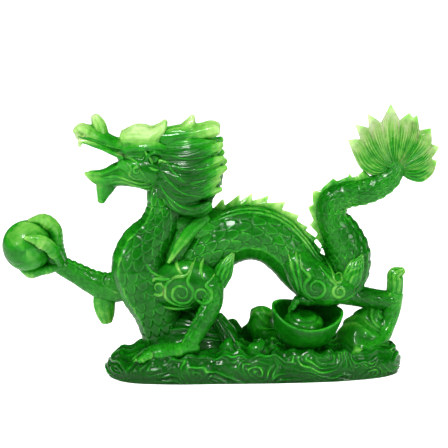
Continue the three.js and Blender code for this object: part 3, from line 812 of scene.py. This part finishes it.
LIP = [
    (-70.6, -4.2, 117.6, 1.2, 1.4), (-64, -5.2, 116.4, 1.2, 1.4), (-56, -6, 112.8, 1.3, 1.6),
    (-49, -6.8, 109.6, 1.3, 1.8),
]
LOWER_LIP = [
    (-66, -1.6, 101.2, 0.8, 1), (-60, -4.6, 101.2, 1, 1.3), (-54, -5.6, 103.6, 1.1, 1.4),
    (-48.5, -6.6, 106.6, 1.1, 1.6),
]
UPPER_LID = [
    (-37.6, -9.4, 108.4), (-35.4, -10.8, 111.6), (-32, -11.4, 112.6), (-28.8, -10.8, 111),
    (-27, -9.6, 107.6),
]
LOWER_LID = [(-37, -9.6, 108), (-34.6, -10.8, 106.2), (-31.4, -11, 105.8), (-28, -10, 107)]
LID_RADIUS = 1
FANG = [(-69.8, -3.8, 118, 1.4, 1.3), (-70.4, -3.9, 115.8, 1, 0.9), (-70.2, -3.8, 114.4, 0.3, 0.3)]
EYE = (-33, 9.2, 109.4)  # y is its distance from the middle plane
MANE = [
    # locks from top to bottom on the left side
    [
        (-27, -6, 113, 4.8, 4), (-15, -8, 115.2, 4.6, 4.4), (-7, -8.4, 116.8, 3, 3),
        (-3.4, -7.8, 117.4, 1.3, 1.4),
    ],
    [
        (-28, -8, 109.6, 4, 4.4), (-15, -10.6, 111, 4.4, 4.6), (-4, -10.4, 114.6, 3.2, 3.2),
        (-0.2, -9.6, 116.8, 1.4, 1.5),
    ],
    [
        (-29, -9, 105.8, 3.8, 4.6), (-16, -12, 105.2, 4.4, 4.8), (-4, -11.8, 108.4, 3.1, 3.2),
        (0.6, -11, 110.2, 1.3, 1.4),
    ],
    [
        (-29.5, -9.4, 102.6, 3.6, 4.6), (-17, -12.6, 99.8, 4.4, 4.8), (-4, -12.2, 102.8, 3.1, 3.2),
        (1.9, -11.4, 105.6, 1.3, 1.4),
    ],
    [
        (-30, -9.4, 99, 3.4, 4.6), (-19, -12.6, 94.8, 4.2, 4.6), (-7, -12, 97, 3, 3.2),
        (-1.4, -11, 99.8, 1.3, 1.4),
    ],
    [
        (-30, -9, 95.8, 3.2, 4.4), (-20, -12, 91, 4, 4.6), (-8, -11.4, 92.8, 2.8, 3.2),
        (-0.4, -10.2, 94.6, 1.2, 1.3),
    ],
    [
        (-29.5, -8.6, 92.4, 3, 4), (-21, -11.2, 86.2, 4, 4.4), (-11, -10.8, 84.6, 4, 3.8),
        (-6.4, -9.6, 86.4, 2.8, 2.6),
    ],
]
MANE_BACK = [
    (-24, 0, 112, 8, 7), (-13, 0, 110, 10.5, 8.5), (-8, 0, 101, 8.6, 9), (-11, 0, 91, 7.5, 8),
    (-14, 0, 83, 4, 5.5),
]
MANE_WISP = [
    (-8, -7.5, 80, 3.4, 3), (-14, -9, 75, 3.6, 2.6), (-20.5, -10.6, 67, 2.8, 2),
    (-26.5, -12.6, 58, 0.8, 0.8),
]
FACE_LINES = [
    [(-71, 119.6), (-65, 118.8), (-57, 115.6), (-50, 113.8)],
    [(-69, 117), (-61, 114.6), (-53, 111.8), (-45, 110.2), (-39, 110.6)],
    [(-55, 113), (-47, 110), (-42, 107.6), (-39.5, 103), (-37, 99.6)],
    [(-47, 107.4), (-44.5, 104.6), (-45.5, 101.6), (-43, 99.4), (-39, 99.6)],
    [(-60, 99.4), (-52, 100), (-45, 98), (-38.5, 97), (-33.5, 101)],
    [(-57, 96.6), (-49, 97.4), (-42, 95.4), (-35.5, 95.4), (-31.5, 99.6)],
    [(-40, 93.6), (-34, 93.4), (-30, 97.4), (-28, 102)],
    [(-38, 113), (-35.5, 109.8), (-33.8, 106.2)],
    [(-36, 105.4), (-31.5, 104), (-28, 106)],
    spiral(-41.8, 103.6, 2.2, 1.2, 0),
]
HAIR_LINES = [
    [(-28, 110), (-24, 104), (-18, 99), (-9, 96)],
    [(-30, 104), (-25, 98), (-18, 93), (-8, 91)],
    [(-31, 98), (-27, 92), (-20, 86.5), (-12, 84)],
    [(-26, 112), (-18, 110), (-9, 111), (-2, 113)],
    [(-25, 107.5), (-18, 105), (-9, 105.4), (-2, 108)],
    [(-24, 101.6), (-17, 98.4), (-9, 99.6), (-3, 102)],
    [(-29, 90), (-26.5, 85), (-23, 81.5)],
    [(-27, 91), (-24.5, 87), (-20, 83.5)],
]


def head_tone(places):
    """Pale where the stone is thin, at the muzzle, the beard's tip and the brow, with painted shade in the
    hollow round the eye.
    """
    x, z = places[:, 0], places[:, 2]
    muzzle = 1.05 * smoothstep(-52, -74, x)
    brow = 0.75 * smoothstep(112, 122.5, z) * smoothstep(-56, -50, x)
    beard = 0.2 * smoothstep(96, 88, z) * smoothstep(-50, -56, x)
    # Painted shade in the hollow round the eye.
    socket_shade = 0.35 * bell(x + 32, 8) * bell(z - 107, 6)
    return np.maximum(muzzle, np.maximum(brow, beard)) - socket_shade - 0.1


def horn_tone(places):
    """Green at the root and paler out to the end and up the prong."""
    x, z = places[:, 0], places[:, 2]
    return np.maximum(smoothstep(-24, -2, x), smoothstep(120, 129, z)) * 0.85


def mane_tone(places):
    """Painted shade where the locks lie deep behind the cheek, and pale towards their tips and along the
    top.
    """
    x, z = places[:, 0], places[:, 2]
    tips = smoothstep(-13, 1, x)
    top = 0.75 * smoothstep(110, 119, z)
    return np.maximum(tips, top) - 0.5


def add_skull():
    parts = [loft(SKULL), loft(BEARD, strands(4, 0.4, 0.1)), loft(LOWER_JAW), loft(SNOUT)]
    parts += [loft(on_side(CHEEK, side)) for side in SIDES]
    for side in SIDES:
        parts += [loft(on_side(stations, side)) for stations in (NOSTRIL, LIP, LOWER_LIP)]
        lids = ([(*p, LID_RADIUS, LID_RADIUS) for p in lid] for lid in (UPPER_LID, LOWER_LID))
        parts += [loft(on_side(lid, side), step=0.35) for lid in lids]
        parts.append(loft(on_side(BROW, side), strands(4, 0.7, 0.25)))
        parts.append(loft(on_side(BROW_RIDGE, side), strands(3, 0.6, 0.2)))
    nodes = ["skull", "snout", "lower_jaw", "beard", "brow_left", "brow_right"]
    return melted("head", "jade_mid", parts, nodes, 0.45, 2, head_tone)


def add_face(head):
    """Carved lines, rims of the nostrils, ears and eyes."""
    skin = skin_of(head)
    parts = []
    for side in SIDES:
        parts += traces(skin, FACE_LINES, side, thick=0.8, tone=0.1)
        parts += traces(skin, [spiral(-68.6, 121.4, 1.9, 1.1, 90)], side, thick=0.6, tone=0.6)
        parts.append(loft(on_side(EAR, side), strands(2, 0.3), step=0.4, tone=0.3))
    piece("face_lines", "jade_mid", parts)
    x, y, z = EYE
    for side, name in SIDES.items():
        eyeball = ball((x, side * y, z), (2.7, 2.2, 2.5), 20)
        pupil = ball((x - 0.5, side * (y + 1.75), z + 0.1), (0.95, 0.6, 0.95), 14, -0.4)
        piece("eye_" + name, "jade_mid", [eyeball, pupil], ["eye_" + name])


def add_teeth():
    """A fang at either side of the snout."""
    piece("fangs", "jade_mid", [loft(on_side(FANG, side), step=0.35, tone=0.8) for side in SIDES])


def add_horns():
    form("nose_curl", "jade_pale", NOSE_CURL, strands(2.5, 0.3, 0.1, 0.25), tone=0.1, tip_tone=0.6)
    for side, name in SIDES.items():
        horn = [loft(on_side(HORN, side), strands(2.5, 0.4, 0.15))]
        horn.append(loft(on_side(PRONG, side), strands(2, 0.3)))
        melted("horn_" + name, "jade_mid", horn, ["horn_" + name], 0.4, 2, horn_tone)


def add_mane():
    form("mane_back", "jade_deep", MANE_BACK, strands(12, 0.6, 0.1), tone=-0.1)
    for side, name in SIDES.items():
        nodes = [f"mane_{name}_{i}" for i in (1, 2, 3)]
        parts = [loft(on_side(lock, side), strands(2.5, 0.75, 0.3), step=0.45) for lock in MANE]
        locks = melted("mane_" + name, "jade_mid", parts, nodes, 0.45, 1, mane_tone)
        lines = traces(skin_of(locks), HAIR_LINES, side, thick=0.55, tone=-0.05)
        piece("mane_lines_" + name, "jade_mid", lines)
    hair = strands(2, 0.3, 0.1, 0.2)
    wisps = [loft(on_side(MANE_WISP, side), hair, tone=0.08, tip_tone=0.3) for side in SIDES]
    piece("mane_wisp", "jade_mid", wisps, ["mane_wisp"])


# ---- tail fan ----

FAN_ROOT = (86.8, 103)
# The seams between the plumes, from the tail's end out to the notches of the fan's edge.
FAN_SEAMS = [
    [(84, 101.5), (75.2, 100.2), (69.4, 103.4), (65.3, 110.6)],
    [(84.5, 103), (77, 106), (72.4, 111), (69.2, 117.2)],
    [(85, 104), (79.4, 110), (75.9, 116), (73.3, 122.6)],
    [(85.7, 104.5), (82, 112), (80.2, 119), (79.2, 125.2)],
    [(86.7, 104.6), (86.8, 112), (87.4, 119.5), (87.9, 126.6)],
    [(87.3, 104.5), (90.6, 112), (92.9, 120), (94.6, 128)],
    [(88, 104), (92.8, 110.5), (95.8, 116), (97.7, 121.6)],
    [(88.5, 103.5), (95, 107.4), (99.8, 111), (103.6, 115)],
    [(88.8, 103), (95, 103.2), (99.6, 104.8), (103.6, 107.6)],
    [(88.5, 101), (93, 98), (99.6, 96.8), (105, 101)],
]
FAN_TIPS = [
    (62.4, 117.7), (65.9, 125.4), (72, 130.8), (83.5, 135.6), (92.8, 131.1), (96.8, 129.9),
    (103.7, 123.5), (108.1, 114), (107, 107.2),
]


def edge_curve(points, count):
    """Points (x, z) evenly along a smooth curve."""
    rows, distance = sampled([(x, 0, z) for x, z in points], 0.3)
    return read_at(np.linspace(0, distance[-1], count), distance, rows[:, [0, 2]])


def plume(low_seam, high_seam, tip, y, thick):
    """A flat feather between two seams, with grooves that run together at its tip."""
    count = 80  # of rings along it, and of points round it
    face = count // 2
    low = edge_curve(low_seam + [tip], count)[:, None]
    high = edge_curve(high_seam + [tip], count)[:, None]
    share = np.linspace(0, 1, count)[:, None]
    u = np.concatenate([np.linspace(-1, 1, face), np.linspace(1, -1, face)])[None, :]
    front = np.repeat([-1.0, 1.0], face)[None, :]
    across = 0.5 + 0.5 * u * (1 + 0.15 * (1 - share))
    flat = low * (1 - across[..., None]) + high * across[..., None]
    ridge = np.abs(np.sin(u * 5.6 + 1.2 * np.sin(share * 4))) ** 0.7
    body = np.minimum(1, share * 6 + 0.3) * (1 - share**2.2)
    height = (thick * body + 0.5) * (1 - 0.35 * np.abs(u) ** 3) + 0.55 * (ridge - 0.8) * (1 - share**6)
    depth = y * (1 - 0.5 * share) + front * height
    rings = np.stack([flat[..., 0], depth, flat[..., 1]], axis=-1)
    return rings_to_mesh(rings, 0 * height, rings[0].mean(axis=0), rings[-1].mean(axis=0))


def plume_grooves(low_seam, high_seam, tip):
    """Paths along a plume for its fine raised lines."""
    low = edge_curve(low_seam + [tip], 14)
    high = edge_curve(high_seam + [tip], 14)
    return [[tuple(p) for p in (low * (1 - w) + high * w)[1:12]] for w in (0.06, 0.28, 0.5, 0.72, 0.94)]


def fan_tone(places):
    """Green where the plumes spring from the tail, and paler and clearer out to their thin tips."""
    out, up = places[:, 0] - FAN_ROOT[0], places[:, 2] - FAN_ROOT[1]
    reach = np.hypot(out, up)
    streak = np.sin(np.arctan2(up, out) * 23 + 0.12 * reach)
    return -0.16 + 0.95 * smoothstep(10, 31, reach) + 0.1 * streak


def add_fan():
    """Two leaves of plumes, with shorter ones on either face."""
    plumes = [(FAN_SEAMS[i], FAN_SEAMS[i + 1], tip) for i, tip in enumerate(FAN_TIPS)]
    parts = [plume(*edges, 0.5 if i % 2 else -0.5, 2.2) for i, edges in enumerate(plumes)]
    root = np.array(FAN_ROOT)

    def shrunk(point, size):
        return tuple(root + size * (np.array(point) - root))

    for i, (low_seam, high_seam, tip) in list(enumerate(plumes))[1:-1]:
        size = 0.7 if i % 2 else 0.52
        low, high = ([shrunk(p, size) for p in seam] for seam in (low_seam, high_seam))
        parts += [plume(low, high, shrunk(tip, size), 1.9 * side, 1.1) for side in SIDES]
    nodes = [f"tail_plume_{i}" for i in range(1, 9)]
    skin = skin_of(melted("tail_fan", "jade_pale", parts, nodes, 0.42, 1, fan_tone))
    paths = [path for edges in plumes for path in plume_grooves(*edges)]
    for side, name in SIDES.items():
        lines = traces(skin, paths, side, thick=0.42, sink=0.1)
        toned = [(points, faces, fan_tone(points) + 0.14) for points, faces, _ in lines]
        piece("tail_fan_lines_" + name, "jade_pale", toned)


# ---- base ----

PLINTH_HEIGHT = 14
PLINTH_MIDDLE = (16.0, 0.0)
BACK_SWIRLS = 30  # twice the x that the front's swirls are turned round to make the back's
PLINTH_AROUND, WALL_RINGS, TOP_RINGS = 760, 32, 58
PLINTH_OUTLINE = [
    (-57, 0), (-55.4, -15), (-46, -26), (-28, -29.5), (0, -28.6), (34, -26.8), (60, -22.8), (80, -15),
    (88.4, -5), (87, 8), (70, 19.5), (46, 25.5), (14, 27.5), (-22, 26.5), (-43, 21), (-53, 11),
]
FRONT_MOUND = [
    (-14.2, 0.8, 12.8, 22.5, 22), (-13.6, 1, 16, 20.6, 18), (-12, 2, 24, 14.5, 13), (-10, 2, 30, 8, 8),
]
SIDE_MOUND = [(3, -3, 8, 9, 12), (1, -3, 19, 6.5, 8), (-2.5, -3, 28, 3.4, 5)]
REAR_MOUND = [
    (71, 3, 8, 15, 14), (72, 4, 16, 13.5, 10.5), (74.5, 6, 21.6, 10.8, 7), (77, 6.5, 26, 7.6, 4.6),
    (79.5, 7, 29, 3.6, 3),
]
# Low heaps of cloud along the back and round the ingot: x, y, the top's height and half the width
HEAPS = [
    (-20, 15, 17, 8), (-9, 17.5, 20.4, 8.5), (4, 18.5, 21.6, 9), (18, 19, 21.4, 9.5), (33, 18.5, 21, 9),
    (46, 17, 18.6, 8), (6, -13.5, 17.4, 8), (19, -17.5, 16.4, 7),
]
WAVE_CURL = [(24, 8, 12, 8, 6), (20, 7.5, 20, 7, 6), (20.2, 7, 28.6, 5.6, 5.4)]
SWIRLS = [
    # x and z of each swirl's middle on the plinth's wall, its reach, and how it winds: 0 for plain rings
    (18, 6.5, 12, 1), (-13, 5.5, 9, -1), (-35, 9, 7, 1), (-52, 8, 9, 0), (50, 15, 17, 0), (73, 3, 9, 0),
    (88, 9, 8, 0),
]


def wall_relief(x, z):
    """Cloud bands on the plinth's wall that flow into swirls."""
    bent_x = x + 1.3 * np.sin(0.55 * z + 0.21 * x)
    bent_z = z + 0.8 * np.sin(0.37 * x + 0.6)
    phase = 0.16 * bent_x + 0.95 * bent_z
    phase = phase + 1.9 * np.sin(bent_x * 0.11) + 0.8 * np.sin(bent_x * 0.27 + z * 0.3)
    dome = 0 * phase
    for cx, cz, reach, spin in SWIRLS:
        dx, dz = bent_x - cx, (bent_z - cz) * 1.3
        radius = np.hypot(dx, dz)
        turns = radius * 1.05 - 0.5 * spin * np.arctan2(dz, dx)
        inside = 1 - smoothstep(reach * 0.55, reach * 1.15, radius)
        phase = phase * (1 - inside) + turns * inside
        dome = np.maximum(dome, 0.35 * np.sqrt(np.clip(1 - (radius / (reach * 1.2)) ** 2, 0, 1)))
    ridge = 1 - np.abs(np.sin(phase)) ** 0.8
    return ridge * (0.75 + 0.35 * np.sin(0.23 * x + 0.5 * z)) + dome


def closed_outline(points, count):
    """Points evenly round a smooth closed curve."""
    rows = np.array(points, float)
    looped = np.concatenate([rows[-3:], rows, rows[:3]])
    stations = np.column_stack([looped, np.zeros(len(looped))])
    dense = sampled(stations, 0.1)[0][:, :2]
    half = len(dense) // 2
    from_start = np.linalg.norm(dense - rows[0], axis=1)
    loop = dense[np.argmin(from_start[:half]) : half + np.argmin(from_start[half:])]
    distance = distances(loop)
    return read_at(np.linspace(0, distance[-1], count, endpoint=False), distance, loop)


def end_height(x):
    """The plinth's height at x as a share of its middle's: it is lower towards the front end."""
    uneven = 0.05 * np.sin(0.34 * x) + 0.05 * np.sin(0.73 * x + 1)
    return 0.66 + 0.32 * smoothstep(-52, -34, x) + uneven


def plinth_wall(outline):
    """Rings and tones up the plinth's wall. The back has the front's swirls, turned round."""
    along = unit(np.roll(outline, -1, axis=0) - np.roll(outline, 1, axis=0))
    outward = np.stack([along[:, 1], -along[:, 0]], axis=1)
    x, y = outline.T
    swirl_x = np.where(y > 0, BACK_SWIRLS - x, x)
    rings, tones = [], []
    for share in np.linspace(0, 1, WALL_RINGS):
        z = PLINTH_HEIGHT * share
        ridge = wall_relief(swirl_x, z)
        bulge = 1.4 * math.sin(math.pi * min(1, share * 1.15)) - 5.5 * max(0, share - 0.55) ** 1.6
        soft = min(1, share * 9 + 0.15) * (1 - 0.35 * share)
        place = outline + outward * (bulge + 1.6 * soft * (ridge - 0.75))[:, None]
        rings.append(np.column_stack([place, z * end_height(place[:, 0])]))
        # Painted highlight on the raised cloud bands and painted shade in the hollows between them.
        tones.append(0.62 * ridge**2 - 0.42)
    return rings, tones


def plinth_top(edge):
    """Rings and tones over the plinth's rippled top, from its edge in to a small ring at its middle."""
    middle = np.array(PLINTH_MIDDLE)
    inner = middle + (edge - middle) * np.array([0.05, 0.02])
    rings, tones = [], []
    for share in np.linspace(0, 1, TOP_RINGS + 2)[1:-1]:
        place = edge * (1 - share) + inner * share
        x, y = place.T
        ripple = 1.3 * wall_relief(x, y * 0.9 + 6) + np.sin(y * 0.5 + x * 0.1)
        z = (PLINTH_HEIGHT - 0.8 + 1.3 * ripple * min(1, share * 8)) * end_height(x)
        rings.append(np.column_stack([place, z]))
        # Painted highlight on the ripples' crests and painted shade in their hollows.
        tones.append(0.3 * ripple - 0.45)
    return rings, tones


def plinth():
    wall, wall_tones = plinth_wall(closed_outline(PLINTH_OUTLINE, PLINTH_AROUND))
    top, top_tones = plinth_top(wall[-1][:, :2])
    foot, crown = (np.array([*PLINTH_MIDDLE, z]) for z in (0.0, PLINTH_HEIGHT))
    return rings_to_mesh(np.array(wall + top), np.array(wall_tones + top_tones), foot, crown)


def cloud_heap(x, y, top, half_width):
    stations = [
        (x, y, 7, half_width, 6),
        (x, y, 14, 0.92 * half_width, 5),
        (x + 1, y, top - 3, 0.66 * half_width, 3.8),
        (x + 2, y, top, 0.2 * half_width, 1.4),
    ]
    return loft(stations, waves(2.4, 0.7, 0.8, 1.2, 0.3), tone=-0.05)


def add_base():
    piece("plinth", "jade_deep", [plinth()], ["base_plinth"])
    side_mound = loft(SIDE_MOUND, strands(6, 0.5, 0.3), tone=-0.1, tip_tone=0.2)
    form("front_mound", "jade_deep", FRONT_MOUND, waves(3.4, 1.1), [side_mound], tone=-0.1)
    form("rear_mound", "jade_mid", REAR_MOUND, waves(2.6, 0.8, 0.8, 1.2, 0.3), tone=0.15, tip_tone=0.15)
    heaps = [cloud_heap(*heap) for heap in HEAPS]
    form("wave_curl", "jade_mid", WAVE_CURL, waves(1.8, 0.5, pale=0.3), heaps, tone=-0.1, tip_tone=0.4)


# ---- ingot ----

INGOT_LENGTH, INGOT_DEPTH, INGOT_HEIGHT, RIM_RISE = 36, 27, 17, 4.2
INGOT_PLACE = (42.1, -13.5, 31.2)
INGOT_LEAN = (math.radians(6.5), math.radians(21))  # about Y and about X
# The bowl's half length as a share of the rim's, and the depth below the rim as a share of the whole height
BOWL_OUTSIDE = [
    (0.1, 1), (0.36, 1), (0.46, 0.985), (0.62, 0.9), (0.78, 0.7), (0.9, 0.42), (0.97, 0.18),
    (1.0, 0.04), (1.0, 0.0),
]
BOWL_INSIDE = [
    (0.975, -0.015), (0.93, 0.0), (0.89, 0.09), (0.84, 0.22), (0.76, 0.36), (0.66, 0.46), (0.5, 0.5),
    (0.1, 0.5),
]
DOME_CENTRE, DOME_RADII = (-1, 0.6, -5.4), (10.4, 9.2, 6.6)


def ingot_place(points):
    """Puts points from the ingot's own axes into the frame."""
    turn_y, turn_x = INGOT_LEAN
    x, y, z = points[..., 0], points[..., 1], points[..., 2]
    y, z = y * math.cos(turn_x) - z * math.sin(turn_x), y * math.sin(turn_x) + z * math.cos(turn_x)
    x, z = x * math.cos(turn_y) + z * math.sin(turn_y), -x * math.sin(turn_y) + z * math.cos(turn_y)
    return np.stack([x, y, z], axis=-1) + np.array(INGOT_PLACE)


def ingot_bowl():
    """Oval rings down the outside of the bowl and up its inside, with ends that rise to points."""
    profile = np.array(BOWL_OUTSIDE + BOWL_INSIDE)
    distance = distances(profile)
    share, drop = read_at(np.linspace(0, distance[-1], 84), distance, profile).T[:, :, None]
    angle = all_round(180)
    rise = RIM_RISE * np.cos(angle) ** 2 * (1 - np.clip(drop, 0, 1)) ** 1.5
    x = share * INGOT_LENGTH / 2 * np.cos(angle)
    y = share * INGOT_DEPTH / 2 * np.sin(angle)
    rings = ingot_place(np.stack([x, y, rise - drop * INGOT_HEIGHT], axis=-1))
    tones = 0.42 * bell(drop, 0.05) + 0 * x - 0.12
    foot, floor = (ingot_place(np.array([0, 0, -depth * INGOT_HEIGHT])) for depth in (1, 0.5))
    return rings_to_mesh(rings, tones, foot, floor)


def ingot_dome():
    """The round middle of the ingot, with a dimple at its top and a step round it."""
    centre_x, centre_y, centre_z = DOME_CENTRE
    points, faces, _ = ball(DOME_CENTRE, DOME_RADII, 48)
    reach = np.hypot(points[:, 0] - centre_x, (points[:, 1] - centre_y) * 1.1)
    upper = points[:, 2] > centre_z
    dimple = bell(reach, 2.6) * upper
    step = bell(reach - 6.8, 0.7) * upper
    points[:, 2] -= 1.5 * dimple + 0.45 * step
    # Painted shade darkens the dimple and the step round it.
    return ingot_place(points), faces, 0.1 - 0.5 * dimple - 0.3 * step


def add_ingot():
    piece("ingot_bowl", "jade_deep", [ingot_bowl()], ["ingot_bowl"])
    piece("ingot_dome", "jade_mid", [ingot_dome()], ["ingot_dome"])


# ---- set ----

TARGET = (0.0, 0.0, 0.06)
LAMPS = [
    # name, place in metres, size, power, whether it shows in the gloss
    ("key", (-0.3, -0.5, 0.75), 0.2, 4.4, True),
    ("fill", (0.6, -0.6, 0.3), 0.22, 1.3, True),
    ("back", (0.15, 0.6, 0.5), 0.4, 3.4, False),
    ("glint_left", (-0.55, -0.45, 0.22), 0.05, 0.5, True),
    ("glint_front", (0.12, -0.75, 0.42), 0.06, 0.7, True),
    ("glint_right", (0.5, -0.3, 0.6), 0.05, 0.55, True),
]
CAMERA_AIM = (0.001, 0, 0.0751)
CAMERA_DISTANCE, VIEW_WIDTH = 1.0, 0.224
CAMERA_ELEVATION = math.radians(10)
FLOOR_HALF = 3


def shown(name, data, place=(0, 0, 0), aim=None):
    """An object in the scene. Lamps and cameras look at their aim."""
    made = bpy.data.objects.new(name, data)
    made.location = place
    if aim is not None:
        made.rotation_euler = (Vector(aim) - Vector(place)).to_track_quat("-Z", "Y").to_euler()
    bpy.context.scene.collection.objects.link(made)
    return made


def ray_strength(tree, seen, diffuse, glossy):
    """How bright a surface of the room is to the camera, as light on the stone and as a shine in it."""
    path = node(tree, "ShaderNodeLightPath").outputs
    gloss = remap(tree, path["Is Glossy Ray"], 0, 1, diffuse, glossy)
    return maths(tree, "MAXIMUM", gloss, remap(tree, path["Is Camera Ray"], 0, 1, 0, seen))


def add_world():
    """A white studio, hardly seen in the gloss, so that the stone shines with the lamps and not the room."""
    world = bpy.data.worlds.new("studio")
    world.use_nodes = True
    tree = world.node_tree
    light = {"Color": (1, 1, 1, 1), "Strength": ray_strength(tree, 1.0, 0.47, 0.03)}
    feed(tree, tree.nodes["Background"], light)
    bpy.context.scene.world = world


def add_floor():
    corners = [(-1, -1), (1, -1), (1, 1), (-1, 1)]
    mesh = bpy.data.meshes.new("floor")
    mesh.from_pydata([(x * FLOOR_HALF, y * FLOOR_HALF, 0) for x, y in corners], [], [(0, 1, 2, 3)])
    paint = bpy.data.materials.new("floor_paint")
    paint.use_nodes = True
    tree = paint.node_tree
    inputs = {
        "Base Color": (0.7, 0.7, 0.7, 1),
        "Roughness": 0.9,
        "Specular IOR Level": 0.0,
        "Emission Color": (1, 1, 1, 1),
        "Emission Strength": ray_strength(tree, 0.9, 0.35, 0.0),
    }
    feed(tree, tree.nodes["Principled BSDF"], inputs)
    mesh.materials.append(paint)
    shown("floor", mesh)


def add_lamps():
    for name, place, size, power, shines in LAMPS:
        lamp = bpy.data.lights.new(name, "AREA")
        lamp.size = size
        lamp.energy = power
        shown(name, lamp, place, TARGET).visible_glossy = shines


def add_camera():
    """It looks at the left side from a little above."""
    lens = bpy.data.cameras.new("camera")
    lens.angle = 2 * math.atan(VIEW_WIDTH / 2 / CAMERA_DISTANCE)
    back, up = CAMERA_DISTANCE * math.cos(CAMERA_ELEVATION), CAMERA_DISTANCE * math.sin(CAMERA_ELEVATION)
    place = Vector(CAMERA_AIM) + Vector((0, -back, up))
    bpy.context.scene.camera = shown("camera", lens, place, CAMERA_AIM)
    bpy.context.scene.view_settings.view_transform = "Standard"


add_trunk()
add_back_bands()
add_crests()
add_left_foreleg()
add_right_foreleg()
add_pearl()
add_hind_legs()
add_face(add_skull())
add_teeth()
add_horns()
add_mane()
add_fan()
add_base()
add_ingot()
add_floor()
add_world()
add_lamps()
add_camera()
